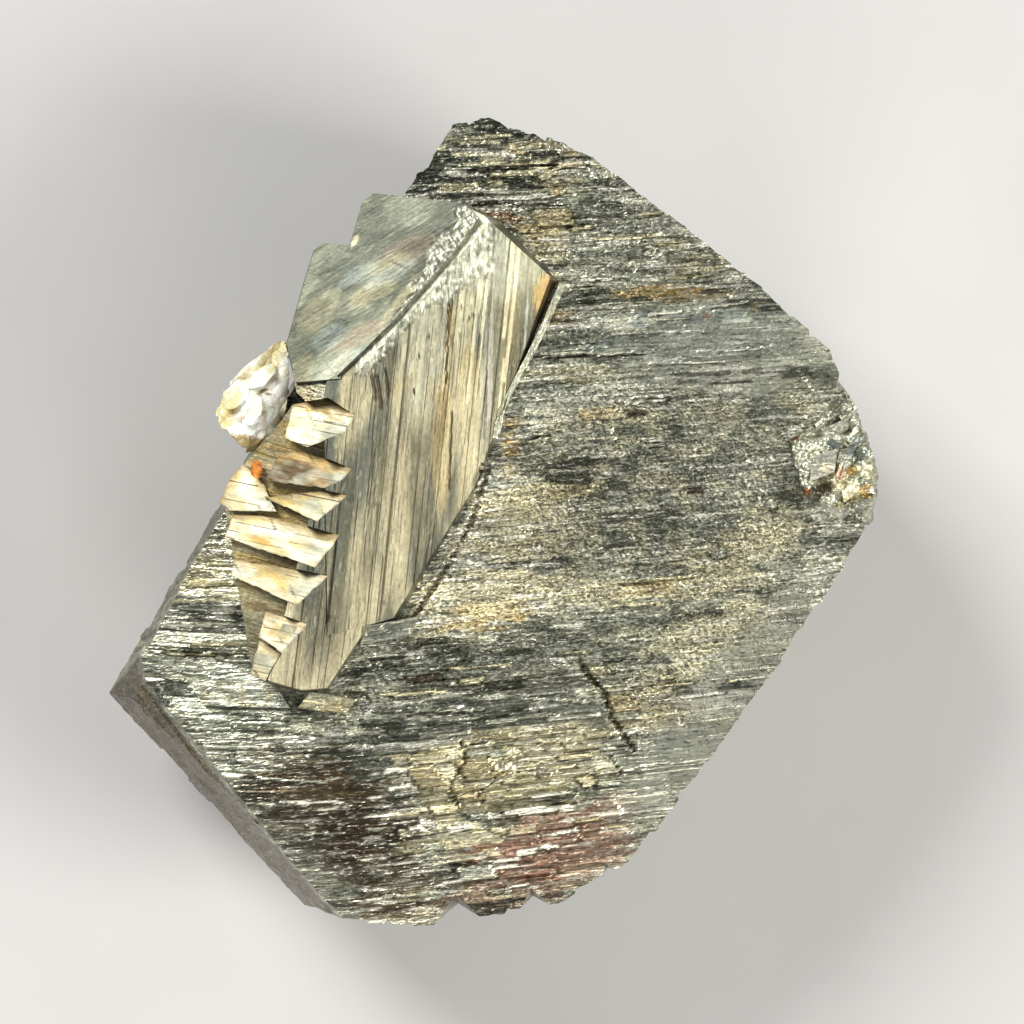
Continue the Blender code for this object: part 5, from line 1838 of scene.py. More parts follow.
        # painted shade: the lower left of the face is darkened with graphite, as it turns away from the light
        paint.blend(GRAPHITE, 0.4 * smooth(x + 0.3 * y, -1.0, -4.0) * top)
        paint.clouds(SAND, 0.4 * top, v * 2.2, u * 0.12, 33, (0.5, 0.62))
        paint.patches(TWIN_PATCHES, fray, 0.85 * top)
        paint.clouds(SLATE, 0.5 * top, v * 2.6, u * 0.15, 34, (0.52, 0.62))
        paint.blend(STEEL, 0.3 * top)
        level = 0.41 + 0.31 * smooth(y, 9.5, 12.5) + 0.1 * smooth(x, -6.5, -9.0)
        # painted shade: the lower left is darkened by a further fifth
        level = level * (1.0 - 0.2 * smooth(x + y, 2.0, -3.0))
        paint.shade(level * (1.0 + top * 0.25 * (0.6 * narrow + 0.4 * hair - 0.5)))
        paint.patches([(-3.4, 8.2, 2.8, 1.3, 80, SILVER, 0.14)], fray, top)
        pale = smooth(narrow, 0.84, 0.87) * smooth(hair, 0.3, 0.35) * smooth(x, -3.5, -1.5)
        paint.blend(CREAM, 0.35 * pale * top)
        paint.blend(UMBER, 0.16 * smooth(hair, 0.14, 0.11) * smooth(narrow, 0.6, 0.5) * top)
        soft = smooth(cloud(u * 0.12, v * 0.7, 36, 2), 0.4, 0.62) * smooth(y, 9.0, 6.0)
        paint.blend(BUFF, 0.32 * soft * top)
        paint.ledges(TWIN_LEDGES, top)
        self.crush_paint(paint, top)
        paint.put(piece)
        finish(piece, material)

    def crush_paint(self, paint: Paint, share: Array) -> None:
        """Pale, sparkling grains along the crest.

        Args:
            paint: paint of a piece beside the crest.
            share: strength at each point.
        """
        x, y, _ = paint.points.T
        crushed = crushed_at(x, y) * share
        grains = dice(63, np.floor(x / 0.16), np.floor(y / 0.16))
        paint.blend(SILVER, 0.7 * crushed)
        paint.shade(1.0 + 0.35 * crushed * (grains - 0.45))
        paint.blend(WHITE, 0.4 * crushed * (grains > 0.8))
        paint.values = {"etched": 0.0, "sparkle": 0.12 + 0.5 * crushed, "pitted": 0.3 + 0.15 * crushed,
                        "calm": 0.35 * (1 - crushed)}

    def dress_roof(self, piece: Piece, material: Material) -> None:
        """Tint a roof slab with faint blue, rose and yellow clouds, with the crushed grains carried onto its
        sides as partly painted light.

        Args:
            piece: the slab.
            material: its finish.
        """
        paint = paint_of(piece)
        x, y, z = paint.points.T
        u, v = turned(x, y, 32.0)
        top = smooth(z - (ROOF_FACE[0] + x * ROOF_FACE[1] + y * ROOF_FACE[2]), -0.75, -0.5)
        fray = 0.9 * (cloud(u * 0.5, v * 1.2, 41) - 0.5) + 0.3 * (cloud(u * 1.6, v * 4.0, 42) - 0.5)
        paint.blend(SLATE, 1.0)
        paint.blend(GRAPHITE, 0.7)
        paint.clouds(STEEL, 0.35 * top, u * 0.4, v * 0.8, 43, (0.42, 0.62))
        paint.patches(ROOF_PATCHES, fray, 0.5 * top)
        paint.blend(UMBER, 0.5 * (1 - top))
        # the crushed silver and white grains reach the slab's sides too: partly crushed grains, partly
        # painted light that lifts the sides' shade
        self.crush_paint(paint, np.maximum(top, 0.85))
        paint.put(piece)
        finish(piece, material)

    def dress_plate(self, piece: Piece, plate: Plate, material: Material) -> None:
        """Tint a plate with cream and gold, its edges dark.

        Args:
            piece: the plate.
            plate: its shape and tints.
            material: its finish.
        """
        paint = paint_of(piece)
        x, y, z = paint.points.T
        u, v = turned(x, y, self.plate_turn)
        height = local_of(self.plate_face(plate).frame(heading(self.plate_turn)), paint.points)[:, 2]
        top = smooth(height, -0.3, -0.16)
        fray = 0.8 * (cloud(u * 0.9, v * 1.8, 51) - 0.5) + 0.3 * (cloud(u * 3.0, v * 6.0, 52) - 0.5)
        sides = self.plate_sides(plate)
        gaps = np.array([(np.array(side.point) - paint.points) @ np.array(side.normal) for side in sides])
        upper = np.min(gaps[[side.normal.y > 0.6 for side in sides]], axis=0)
        tip = np.hypot(x - plate.tip[0], y - plate.tip[1])
        clean = 0.5 if plate.base is BUFF else 0.15
        paint.blend(SAND, 1.0 - top)
        paint.clouds(BRONZE, 0.7 * (1 - top), x * 1.5, z * 4.0, 53, (0.35, 0.6))
        paint.blend(plate.base, top)
        paint.blend(SILVER, 0.75 * smooth(tip + fray, 2.0, 0.7) * top)
        paint.patches(plate.patches, fray, top)
        paint.clouds(WHITE, clean * top, u * 0.8, v * 1.6, 57, (0.5, 0.64))
        paint.blend(HONEY, 0.4 * smooth(upper + 0.35 * fray, 0.62, 0.4) * top)
        paint.blend(BRONZE, 0.55 * smooth(upper + 0.3 * fray, 0.34, 0.2) * top)
        paint.clouds(STEEL, 0.4 * top, u * 1.4, v * 3.0, 54, (0.56, 0.7))
        paint.blend(UMBER, 0.45 * smooth(gaps.min(axis=0), 0.12, 0.04) * top)
        paint.shade(0.68 + 0.5 * (cloud(u * 1.2, v * 3.0, 55) - 0.5))
        paint.values = {"etched": 0.0, "sparkle": 0.1, "pitted": 0.15 * top, "calm": 0.6 * top}
        paint.put(piece)
        finish(piece, material)

    def dress_body(self, piece: Piece, tint: Tint, material: Material) -> None:
        """Tint the twin's back or the core behind the plates.

        Args:
            piece: the piece.
            tint: its main tint.
            material: its finish.
        """
        paint = paint_of(piece)
        x, y, z = paint.points.T
        side = smooth(np.abs(paint.normals[:, 2]), 0.7, 0.5)
        along = paint.along_wall()
        paint.blend(tint, 0.8)
        paint.clouds(HONEY, 0.6 * smooth(y, -5.0, -2.5), x * 0.8, y * 2.5 + z, 58, (0.5, 0.6))
        paint.blend(SLATE, 0.6 * smooth(y, -3.5, -5.5))
        paint.clouds(BRONZE, 0.45, x * 1.2, y * 2.0 + z, 56, (0.45, 0.6))
        paint.blend(SLATE, 0.7 * side)
        paint.clouds(SILVER, 0.5 * side, along * 2.2, z * 0.14, 26, (0.54, 0.66))
        paint.clouds(GRAPHITE, 0.6 * side, along * 2.0, z * 0.12, 27, (0.47, 0.33))
        paint.values = {"etched": 0.0, "sparkle": 0.1, "pitted": 0.2, "calm": 0.3}
        paint.put(piece)
        finish(piece, material)

    def build(self) -> None:
        """Build and dress all of the twin's pieces."""
        soft = (0.4, 0.54)
        face, turn = sheet(*TWIN_FACE), TWIN_HEADING
        sides = walls(self.upper_plan, 15.0, self.upper_leans) + [sheet(*ROOF_FACE, drop=0.35), under(7.0)]
        streaked = MetalFinish("streaked_twin_face", 87.5, 0.15, 0.18, 0.4, soft, 0.35, 0.8, 0.75).material()
        part = self.face_part("striated_twin_face", self.upper_plan, sides, face, turn)
        self.dress_face(part, face, turn, streaked)
        face, turn = sheet(*TWIN_FACE, drop=0.07), TWIN_HEADING - 2
        sides = walls(self.lower_plan, 15.5, self.lower_leans) + [under(8.0)]
        streaked = MetalFinish("streaked_twin_foot", 84.0, 0.18, 0.22, 0.4, soft, 0.35, 0.8, 0.8).material()
        part = self.face_part("striated_twin_foot", self.lower_plan, sides, face, turn)
        self.dress_face(part, face, turn, streaked)
        satin = MetalFinish("smooth_roof", 32.0, 0.16, 0.2, 0.4, (0.4, 0.5), 0.25, 0.85, 0.8).material()
        for slab in (("roof_slab", self.roof_upper_plan, (26, 24, 20, 6, 2, 2, 2, 2, 2), 0.0, 1.7),
                     ("roof_slab_lower", self.roof_lower_plan, (20, 18, 0, 2, 3, 3, 3, 3, 3), 0.22, 2.21)):
            self.dress_roof(self.roof(*slab), satin)
        self.dress_body(self.back(), SLATE, MetalFinish("twin_side", -16.0, 0.4, 0.4, 0.5).material())
        self.dress_body(self.core(), SAND, MetalFinish(
            "twin_core", -16.0, 0.3, 0.4, 0.3, (0.5, 0.64), 0.4, 0.6).material())
        gilded = MetalFinish("gilded_plate", -16.0, 0.2, 0.22, 0.3, (0.42, 0.56), 0.3, 0.7, 0.8).material()
        for number, plate in enumerate(PLATES):
            self.dress_plate(self.plate(number, plate), plate, gilded)


def hull(points: Sequence[Span]) -> list[Span]:
    """Counter-clockwise convex outline round plan points.

    Args:
        points: the points.

    Returns:
        The corners of the outline.
    """
    def chain_of(run: Sequence[Span]) -> list[Span]:
        """Walk one side of the outline.

        Args:
            run: the points, in order.

        Returns:
            The corners on that side.
        """
        chain: list[Span] = []
        for point in run:
            while len(chain) > 1 and left_turn(chain[-2], chain[-1], point) <= 1e-6:
                chain.pop()
            chain.append(point)
        return chain[:-1]

    ordered = sorted(points)
    return chain_of(ordered) + chain_of(ordered[::-1])


def left_turn(first: Sequence[float], second: Sequence[float], third: Sequence[float]) -> float:
    """Positive where the path first-second-third turns left."""
    return ((second[0] - first[0]) * (third[1] - first[1])
            - (second[1] - first[1]) * (third[0] - first[0]))


# ---- Small pieces: foot ledges, valley rim, pocket crystals, iron oxide and mica ----

@dataclass(frozen=True)
class Rhomb:
    """A small rhombic crystal: centre, height, length, width, turn, skew, lean of its top and tint."""
    x: float
    y: float
    top: float
    long: float
    wide: float
    turn: float
    skew: float
    lean: Span
    tint: Tint
    seed: int

    def build(self, name: str, floor: float, roof: bool = False) -> Piece:
        """Cut the crystal and wear its edges.

        Args:
            name: name of the piece.
            floor: height of its foot.
            roof: whether it has a second, falling top face.

        Returns:
            The crystal.
        """
        plan = rhomb_plan(self.x, self.y, self.long, self.wide, self.turn, self.skew)
        sides = walls(plan, self.top, [3.0] * 4)
        up = Vector((-self.lean[0], -self.lean[1], 1)).normalized()
        face = Face(Vector((self.x, self.y, self.top)), up)
        plain = sides + [under(floor)]
        if roof:
            second = Vector((1.4 * self.lean[0], 1.4 * self.lean[1], 1)).normalized()
            plain.append(Face(face.point + Vector((0, 0, 0.05)), second))
        steps = Striae(self.seed, (0.14, 0.45), 1.2, 0.025, 0.1)
        return cut_crystal(name, plain, [relief_round(
            face, heading(self.turn), face.point, (-3.0, 3.0), (-1.6, 1.6), (0.12, 0.07),
            lambda u, v: steps.height(u, v) - 0.02)])


@dataclass
class SmallCrystals:
    """The ledges round the twin's foot and the crystals in the broken pocket."""
    ledges: tuple = (
        Rhomb(-5.3, -5.4, 15.5, 2.6, 1.0, 10, 60, (-0.12, 0.08), SILVER, 401),
        Rhomb(-8.9, -8.95, 15.45, 1.3, 1.0, -8, 60, (-0.12, 0.08), CREAM, 402),
        Rhomb(-7.75, -9.1, 15.3, 1.1, 0.9, -10, 60, (-0.12, 0.08), CREAM, 403),
        Rhomb(-12.8, -8.6, 14.4, 4.4, 1.5, -2, 125, (0.2, -0.08), SILVER, 404))
    pocket: tuple = (
        (16.45, 2.9, 14.9, 1.3, 1.2, 20, WHITE), (16.5, 0.55, 14.95, 2.2, 0.75, -12, WHITE),
        (18.0, 4.3, 14.4, 0.9, 0.5, 62, STEEL), (17.6, 3.5, 14.6, 0.8, 0.5, 14, BLUE),
        (18.5, 2.7, 14.2, 0.9, 0.5, 96, GOLD), (17.8, 1.6, 14.6, 1.0, 0.6, 40, CREAM),
        (17.1, 4.7, 14.6, 1.3, 0.6, 25, SILVER), (17.7, 5.5, 14.3, 1.1, 0.7, 60, STEEL),
        (18.4, 0.8, 14.4, 1.1, 0.6, 20, SILVER), (16.2, 5.2, 14.7, 0.7, 0.4, 55, WHITE),
        (17.3, 2.5, 14.7, 0.6, 0.4, 75, ROSE), (18.7, 1.8, 14.1, 0.7, 0.4, 110, CREAM),
        (15.5, 3.7, 14.6, 1.0, 0.5, 48, SILVER), (17.0, 3.9, 14.7, 0.6, 0.35, -20, BLUE))
    rubble_plan: tuple = (
        (14.3, 4.0), (15.2, 1.1), (17.2, -0.15), (18.95, 0.1), (19.3, 2.3), (19.15, 3.2), (18.6, 4.7),
        (17.9, 6.2), (17.3, 6.9), (15.9, 6.4))
    rubble_patches: tuple = (
        (15.6, 3.6, 0.9, 0.9, 0, WHITE, 0.35), (17.2, 4.9, 0.9, 0.5, 30, STEEL, 0.7),
        (18, 4.1, 0.35, 0.3, 0, BLUE, 0.8), (18.4, 3.4, 0.5, 0.25, 60, BLUE, 0.8),
        (17.9, 2.6, 0.4, 0.25, 20, GOLD, 0.7), (18.6, 1.5, 0.4, 0.4, 0, GOLD, 0.7),
        (17.4, 3.6, 0.5, 0.4, 0, ROSE, 0.5), (17.2, 2.1, 0.7, 0.4, 30, CREAM, 0.8),
        (16.1, 1.5, 1, 0.4, 25, UMBER, 0.9), (17.7, 1, 0.8, 0.3, 10, OLIVE, 0.8),
        (15.5, 1.5, 0.3, 0.2, 30, RUST, 0.8), (15.7, 5.3, 0.7, 0.5, -20, UMBER, 0.8),
        (15, 4.2, 0.2, 0.15, 0, RUST, 0.7), (18.9, 2.6, 0.5, 0.8, 80, CREAM, 0.6))

    def rubble(self) -> Piece:
        """The crushed floor of the pocket."""
        face = sheet(16.6, -0.125, 0.0)
        big, small = Crumble(431, 0.7, 0.1, 0.55, 0.8), Crumble(441, 0.24, 0.02, 0.3, 0.5)
        sides = walls(self.rubble_plan, 14.0, [3.0] * len(self.rubble_plan))
        up = Vector((0, 0, 1))
        rims = [relief_round(side, up, side.point, (-5.0, 3.0), (-3.0, 3.0), (0.14, 0.14),
                             lambda u, v: big.height(u, v) - 0.15) for side in sides[3:7]]
        return cut_crystal("pocket_rubble", sides[:3] + sides[7:] + [under(10.0)], rims + [relief_over(
            face, heading(0), self.rubble_plan, (0.06, 0.06),
            lambda u, v: big.height(u, v) + small.height(u, v))])

    def build(self) -> None:
        """Build and tint all of them."""
        material = MetalFinish("small_crystals", 4.0, 0.25, 0.35, 0.5, (0.3, 0.45), 0.4, 0.8, 0.8).material()
        rubble = self.rubble()
        paint = paint_of(rubble)
        x, y, z = paint.points.T
        paint.blend(SILVER, 0.9)
        paint.patches(self.rubble_patches, 0.5 * (cloud(x * 3, y * 3, 60) - 0.5))
        paint.blend(SLATE, 0.7 * smooth(np.abs(paint.normals[:, 2]), 0.6, 0.4) * smooth(z, 14.0, 13.0))
        self.put(rubble, paint, material)
        for number, rhomb in enumerate(self.ledges):
            self.dress(rhomb.build(f"foot_ledge_{number + 1}", 12.0), rhomb.tint, material)
        for number, (x, y, top, long, wide, turn, tint) in enumerate(self.pocket):
            lean = heading(turn + 70.0) * (0.35 if number % 2 else -0.3)
            rhomb = Rhomb(x, y, top, long, wide, turn, 62, (-lean.x, -lean.y), tint, 410 + number)
            self.dress(rhomb.build(f"pocket_crystal_{number + 1}", 13.0, True), tint, material)

    def dress(self, piece: Piece, tint: Tint, material: Material) -> None:
        """Tint one of them, with faint iridescent spots.

        Args:
            piece: the crystal.
            tint: its main tint.
            material: its finish.
        """
        paint = paint_of(piece)
        x, y, _ = paint.points.T
        paint.blend(tint, 0.85)
        paint.clouds(GOLD, 0.25, x * 1.5, y * 1.5, 57, (0.55, 0.7))
        paint.clouds(BLUE, 0.25, x * 1.5, y * 1.5, 58, (0.55, 0.7))
        self.put(piece, paint, material)

    def put(self, piece: Piece, paint: Paint, material: Material) -> None:
        """Write the paint and finish the piece.

        Args:
            piece: the piece.
            paint: its paint.
            material: its finish.
        """
        x, y, z = paint.points.T
        paint.shade(1.0 + 0.5 * (cloud(x * 3.0, y * 6.0 + z, 59) - 0.5))
        paint.values = {"etched": 0.2, "sparkle": 0.3, "pitted": 0.3}
        paint.put(piece)
        finish(piece, material)


@dataclass(frozen=True)
class ValleyRim:
    """The thin wall that steps down from the twin's face to the main crystal's front, tinted pale blue-white
    as a painted highlight.
    """
    path: tuple = ((3.3, 11.85), (2.55, 10.1), (1.75, 8.45), (1.0, 7.0), (0.28, 5.55), (0.02, 4.3))
    width: float = 0.34
    inset: float = 0.14

    def build(self, front_at: Field) -> None:
        """Cut the wall in lengths that run into one another.

        Args:
            front_at: height of the front above a plan position.
        """
        piece = None
        for number, ((ax, ay), (bx, by)) in enumerate(zip(self.path, self.path[1:])):
            run = Vector((bx - ax, by - ay, 0.0)).normalized()
            side = Vector((-run.y, run.x, 0.0))
            start, end = Vector((ax, ay, 0.0)) - run * 0.1, Vector((bx, by, 0.0)) + run * 0.1
            plan = [start - side * self.inset, end - side * self.inset,
                    end + side * (self.width - self.inset), start + side * (self.width - self.inset)]
            heights = [self.twin_at(point) + 0.03 for point in plan[:2]]
            heights.append(float(front_at(plan[2].x, plan[2].y)) + 0.02 + 0.02 * (number % 2))
            face = face_through([(p.x, p.y, z) for p, z in zip(plan, heights)], (0, 0, 1))
            part = cut_block("valley_rim", walls([(p.x, p.y) for p in plan], 15.0, [2.0] * 4)
                             + [face, under(13.6)])
            piece = part if piece is None else combine(piece, part, "UNION")
        paint = paint_of(piece)
        # painted highlight: the rim is tinted pale blue-white as its lit edge looks
        paint.blend(BLUE, 1.0)
        paint.blend(WHITE, 0.7)
        paint.values = {"etched": 0.0, "sparkle": 0.4, "pitted": 0.3}
        paint.put(piece)
        finish(piece, MetalFinish("rim_painted_highlight", 65.0, 0.3, 0.3).material())

    def twin_at(self, point: Vector) -> float:
        """Height of the striated face above a plan position."""
        return TWIN_FACE[0] + TWIN_FACE[1] * point.x + TWIN_FACE[2] * point.y


@dataclass(frozen=True)
class Leaf:
    """One bent mica leaf: centre, half sizes, tilt about X, Y and Z, bend and thickness."""
    centre: Place
    half: Span
    tilt: Place
    bend: Span
    thickness: float
    seed: int

    def build(self, name: str) -> Piece:
        """Bend a disc of grid, fray its rim and thicken it.

        Args:
            name: name of the piece.

        Returns:
            The leaf.
        """
        bpy.ops.object.select_all(action="DESELECT")
        bpy.ops.mesh.primitive_grid_add(x_subdivisions=28, y_subdivisions=28, size=2.0)
        leaf = bpy.context.object
        leaf.name = name
        a, b = places_of(leaf)[:, :2].T
        x, y = a * np.sqrt(1 - 0.5 * b * b), b * np.sqrt(1 - 0.5 * a * a)
        angle = np.arctan2(y, x)
        corners = 1.0 - 0.1 * np.abs(np.cos(3.0 * angle + self.seed)) + 0.1 * (
            cloud(2.5 * np.cos(angle) + self.seed, 2.5 * np.sin(angle), self.seed, 3) - 0.5)
        x, y = x * corners * self.half[0], y * corners * self.half[1]
        steps = Striae(self.seed, (0.25, 0.8), 2.5, 0.035, 0.06, 0.9)
        z = -self.bend[0] * x * x - self.bend[1] * y * y + steps.height(x, y)
        z += 0.1 * (cloud(x * 0.9, y * 0.9, self.seed + 5) - 0.5)
        move_points(leaf, np.stack((x, y, z), axis=1))
        step = leaf.modifiers.new("thickness", "SOLIDIFY")
        step.thickness, step.offset = self.thickness, -1.0
        only(leaf)
        bpy.ops.object.modifier_apply(modifier=step.name)
        turn = Matrix.Rotation(math.radians(self.tilt[2]), 4, "Z")
        lean = (Matrix.Rotation(math.radians(self.tilt[0]), 4, "X")
                @ Matrix.Rotation(math.radians(self.tilt[1]), 4, "Y"))
        leaf.data.transform(Matrix.Translation(self.centre) @ lean @ turn)
        bpy.ops.object.shade_smooth_by_angle(angle=math.radians(28))
        return leaf


MICA_PATCHES = (
    (-10.9, 8.8, 1.5, 0.7, 50, STRAW, 0.75), (-12, 7.5, 1, 0.4, 20, STRAW, 0.4),
    (-13.35, 6.95, 1.1, 0.16, 48, PEARL, 1), (-13, 6.75, 1, 0.16, 48, HONEY, 0.5),
    (-13.4, 5.6, 1.1, 0.7, 55, STRAW, 0.85), (-13.6, 5.1, 0.8, 0.12, 45, HONEY, 0.5),
    (-12.5, 5.9, 0.9, 0.22, 60, PEARL, 1), (-12.45, 5.35, 0.4, 0.08, 60, HONEY, 0.8),
    (-11.4, 6.9, 0.6, 0.3, 20, PEARL, 0.9), (-11.55, 6.55, 0.22, 0.1, 20, OLIVE, 0.9),
    (-11.3, 6.4, 0.2, 0.08, -10, OLIVE, 0.9), (-11.75, 6.4, 0.14, 0.07, -30, OLIVE, 0.8),
    (-11.9, 4.85, 0.7, 0.4, 20, PEARL, 0.9), (-12.5, 3.85, 2, 0.5, -14, HONEY, 0.9),
    (-11.3, 3.9, 0.6, 0.35, 30, BRONZE, 0.7), (-12.75, 3.6, 0.28, 0.12, -40, PEARL, 1),
    (-10.6, 5.3, 0.25, 0.6, 10, HONEY, 0.6),
)


@dataclass
class MicaTuft:
    """The tuft of pearly mica on the left edge: a crumpled book with bent leaves round it."""
    book_plan: tuple = (
        (-10.45, 9.35), (-11.45, 8.5), (-12.5, 7.75), (-13.2, 7.0), (-13.85, 6.1), (-14.1, 5.45),
        (-14.0, 4.85), (-13.45, 4.2), (-12.8, 3.5), (-12.2, 3.4), (-11.0, 3.85), (-10.55, 4.6),
        (-10.25, 6.5), (-10.25, 8.3))
    book_top: float = 16.75
    middle: Span = (-12.0, 6.3)
    half_sizes: Span = (3.5, 2.3)
    turn: float = 56.0
    crumple: Crumble = Crumble(511, 1.2, 0.08, 0.42, 0.6)
    flake: Crumble = Crumble(521, 0.5, 0.02, 0.25, 0.4)
    sheets: Striae = Striae(531, (0.2, 0.7), 1.8, 0.018, 0.05, 0.4)
    leaves: tuple = (
        Leaf((-13.2, 5.4, 15.1), (1.1, 0.85), (10, -52, 30), (0.1, 0.1), 0.16, 502),
        Leaf((-12.7, 7.0, 15.4), (0.95, 0.7), (-36, -36, 60), (0.12, 0.16), 0.14, 503),
        Leaf((-12.9, 4.6, 14.5), (1.1, 0.8), (42, -42, 10), (0.1, 0.12), 0.18, 504),
        Leaf((-11.9, 3.95, 15.0), (1.0, 0.6), (58, 6, -10), (0.08, 0.12), 0.16, 505),
        Leaf((-11.3, 8.2, 15.3), (1.0, 0.6), (-48, -14, 46), (0.1, 0.1), 0.16, 506),
        Leaf((-12.0, 4.1, 13.8), (1.15, 0.75), (66, -10, 5), (0.06, 0.08), 0.3, 507),
        Leaf((-13.2, 6.2, 13.9), (1.2, 0.9), (-10, -70, 40), (0.06, 0.06), 0.3, 508),
        Leaf((-12.9, 6.4, 16.82), (0.95, 0.55), (-8, -12, 48), (0.1, 0.16), 0.1, 511),
        Leaf((-12.1, 5.6, 16.95), (0.85, 0.5), (-14, -8, 70), (0.1, 0.16), 0.1, 512),
        Leaf((-11.6, 7.3, 16.86), (0.9, 0.45), (-16, -10, 40), (0.1, 0.18), 0.1, 513),
        Leaf((-12.5, 4.7, 16.62), (0.8, 0.5), (-10, -10, 20), (0.12, 0.16), 0.1, 514))

    def book(self) -> Piece:
        """The crumpled book of sheets."""
        face = sheet(self.book_top, 0.0, 0.0)
        cuts = walls(hull(self.book_plan), 15.3, [-6.0] * len(hull(self.book_plan)))
        edges = walls(hull(self.book_plan), 15.3, [0.0] * len(cuts))

        def relief(u: Array, v: Array) -> Array:
            """A dome of crumpled sheets.

            Args:
                u: places along the striations.
                v: places across them.

            Returns:
                The relief.
            """
            along, across = turned(u - self.middle[0], v - self.middle[1], self.turn)
            far = np.hypot(along / self.half_sizes[0], across / self.half_sizes[1])
            ridges = self.crumple.height(u, v) + self.flake.height(u, v) + self.sheets.height(along, across)
            inside = np.min([(edge.point.x - u) * edge.normal.x + (edge.point.y - v) * edge.normal.y
                             for edge in edges], axis=0)
            bite = 0.32 * smooth(cloud(u * 1.2, v * 1.2, 545), 0.46, 0.66) * smooth(u + 0.5 * v, -9.0, -9.6)
            dome = ridges - 0.3 * far ** 2 - 1.0 * np.minimum(far, 1.3) ** 6
            return dome - 5.0 * smooth(inside, bite, bite - 0.12)

        level = Vector((0.0, 0.05, -1.0))
        flanks = []
        for cut in cuts:
            middle = Vector((*cut.point.xy, 14.8))
            flanks.append(relief_round(
                cut, level, middle, (-3.5, 3.5), (-3.4, 3.4), (0.06, 0.1),
                lambda u, v: Striae(535, (0.1, 0.45), 1.1, 0.1, 0.2).height(v, u) - 0.12))
        return without_crumbs(cut_crystal("mica_book", [under(12.8)], flanks + [Relief(
            face, Vector((1, 0, 0)), (-14.6, -9.6), (2.9, 9.9), (0.05, 0.05), relief)]))

    def build(self) -> None:
        """Build the book and the leaves and dress them in pearl."""
        material = PearlFinish().material()
        self.dress(self.book(), material, ["mica_tuft"])
        for number, leaf in enumerate(self.leaves):
            self.dress(leaf.build(f"mica_leaf_{number + 1}"), material, [])

    def dress(self, piece: Piece, material: Material, stands_for: Sequence[str]) -> None:
        """Tint one piece white, straw and honey.

        Args:
            piece: the piece.
            material: its finish.
            stands_for: CAD nodes that it takes the place of.
        """
        paint = paint_of(piece)
        x, y, z = paint.points.T
        along, across = turned(x, y, 50.0)
        fray = (0.8 * (cloud(along * 1.5, across * 3.0, 541) - 0.5)
                + 0.4 * (cloud(along * 5.0, across * 9.0, 542) - 0.5))
        side = smooth(np.abs(paint.normals[:, 2]), 0.6, 0.4)
        a, b = turned(x - self.middle[0], y - self.middle[1], self.turn)
        far = np.hypot(a / self.half_sizes[0], b / self.half_sizes[1])
        paint.blend(PEARL, 1.0)
        paint.clouds(STRAW, 0.3, along * 0.9, across * 1.6, 543, (0.5, 0.64))
        paint.blend(STRAW, 0.5 * smooth(far + 0.3 * fray, 0.66, 0.9))
        paint.patches(MICA_PATCHES, fray)
        paint.clouds(HONEY, 0.6 * side, x + y, z * 6.0, 546, (0.5, 0.62))
        paint.clouds(PEARL, 0.6 * side, x - y, z * 7.0, 547, (0.55, 0.62))
        paint.clouds(HONEY, 0.45 * smooth(z, 15.4, 14.4), x + y, z * 4.0, 544, (0.35, 0.6))
        paint.put(piece)
        finish(piece, material, stands_for)


@dataclass(frozen=True)
class OxideGrain:
    """A crumb of orange iron oxide caught under the mica."""
    centre: Place = (-11.86, 2.66, 16.9)
    size: Place = (0.3, 0.44, 0.35)

    def build(self) -> None:
        """Roughen a small ball into a crumb."""
        bpy.ops.object.select_all(action="DESELECT")
        bpy.ops.mesh.primitive_ico_sphere_add(subdivisions=4, radius=1.0)
        crumb = bpy.context.object
        crumb.name = "iron_oxide_crumb"
        place = places_of(crumb)
        lumps = Crumble(71, 0.55, 0.16, 0.3).height(place[:, 0] + 3 * place[:, 2], place[:, 1])
        place *= (0.9 + lumps)[:, None] * np.array(self.size)
        move_points(crumb, place + np.array(self.centre))
        finish(crumb, RustFinish().material())


# ---- Studio ----

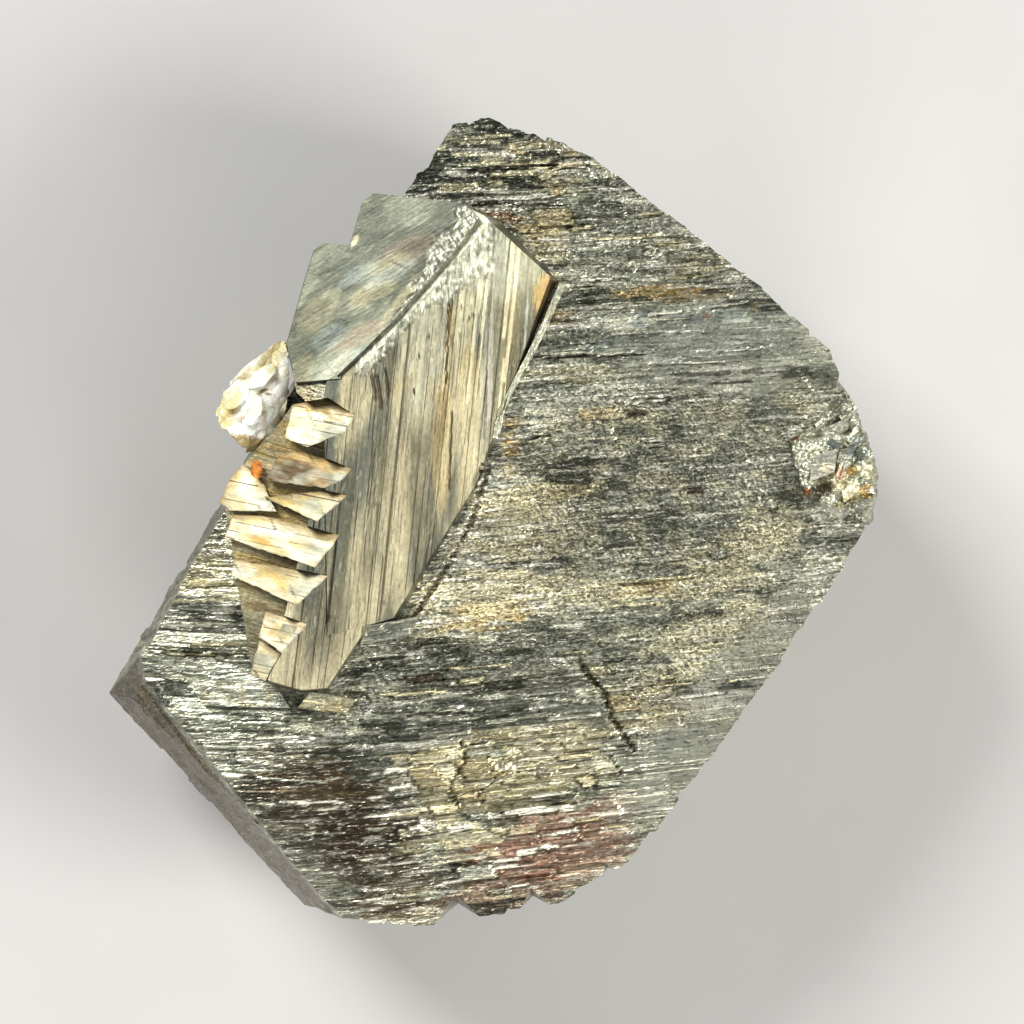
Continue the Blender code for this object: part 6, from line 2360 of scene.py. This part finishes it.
@dataclass(frozen=True)
class SoftLight:
    """A soft box: where it stands in metres, its edge, its power and its colour."""
    name: str
    place: Place
    size: float
    power: float
    colour: Place = (1.0, 1.0, 1.0)

    def put(self) -> None:
        """Hang the light so that it shines on the specimen."""
        light = bpy.data.lights.new(self.name, "AREA")
        light.energy = self.power
        light.size = self.size
        light.color = self.colour
        lamp = bpy.data.objects.new(self.name, light)
        lamp.location = self.place
        lamp.rotation_euler = (Vector(self.place) - Vector((0, 0, 0.01))).to_track_quat("Z", "Y").to_euler()
        bpy.context.scene.collection.objects.link(lamp)


@dataclass(frozen=True)
class Studio:
    """Pale floor, soft lights and a camera straight above."""
    camera_place: Place = (0.00085, 0.000525, 0.415)
    focal_length: float = 281.25
    lights: tuple[SoftLight, ...] = (
        SoftLight("key_light", (-0.3, 0.34, 0.42), 0.24, 3.4, (1.0, 0.99, 0.96)),
        SoftLight("right_light", (0.48, -0.16, 0.36), 0.3, 3.2, (1.0, 0.98, 0.94)),
        SoftLight("front_light", (0.05, -0.5, 0.3), 0.28, 1.2, (1.0, 0.95, 0.9)),
    )

    def build(self) -> None:
        """Set the stage."""
        bpy.ops.object.select_all(action="DESELECT")
        bpy.ops.mesh.primitive_circle_add(vertices=96, radius=1.6, fill_type="NGON", location=(0, 0, -0.0002))
        floor = bpy.context.object
        floor.name = "floor"
        floor.data.materials.append(FloorFinish().material())
        for light in self.lights:
            light.put()
        world = bpy.data.worlds.new("studio")
        world.use_nodes = True
        world.node_tree.nodes["Background"].inputs["Color"].default_value = (0.8, 0.82, 0.85, 1.0)
        world.node_tree.nodes["Background"].inputs["Strength"].default_value = 0.26
        bpy.context.scene.world = world
        bpy.context.scene.view_settings.view_transform = "Standard"
        camera = bpy.data.cameras.new("camera")
        camera.sensor_width = 36.0
        camera.lens = self.focal_length
        camera.clip_start, camera.clip_end = 0.01, 10.0
        holder = bpy.data.objects.new("camera", camera)
        holder.location = self.camera_place
        bpy.context.scene.collection.objects.link(holder)
        bpy.context.scene.camera = holder


def main() -> None:
    """Build the specimen piece by piece, then the stage round it."""
    logging.basicConfig(level=logging.INFO, format="%(message)s")
    main_crystal = MainCrystal()
    main_crystal.dress(main_crystal.build())
    TwinCrystal().build()
    SmallCrystals().build()
    ValleyRim().build(main_crystal.front_at)
    MicaTuft().build()
    OxideGrain().build()
    Studio().build()


if __name__ == "__main__":
    main()
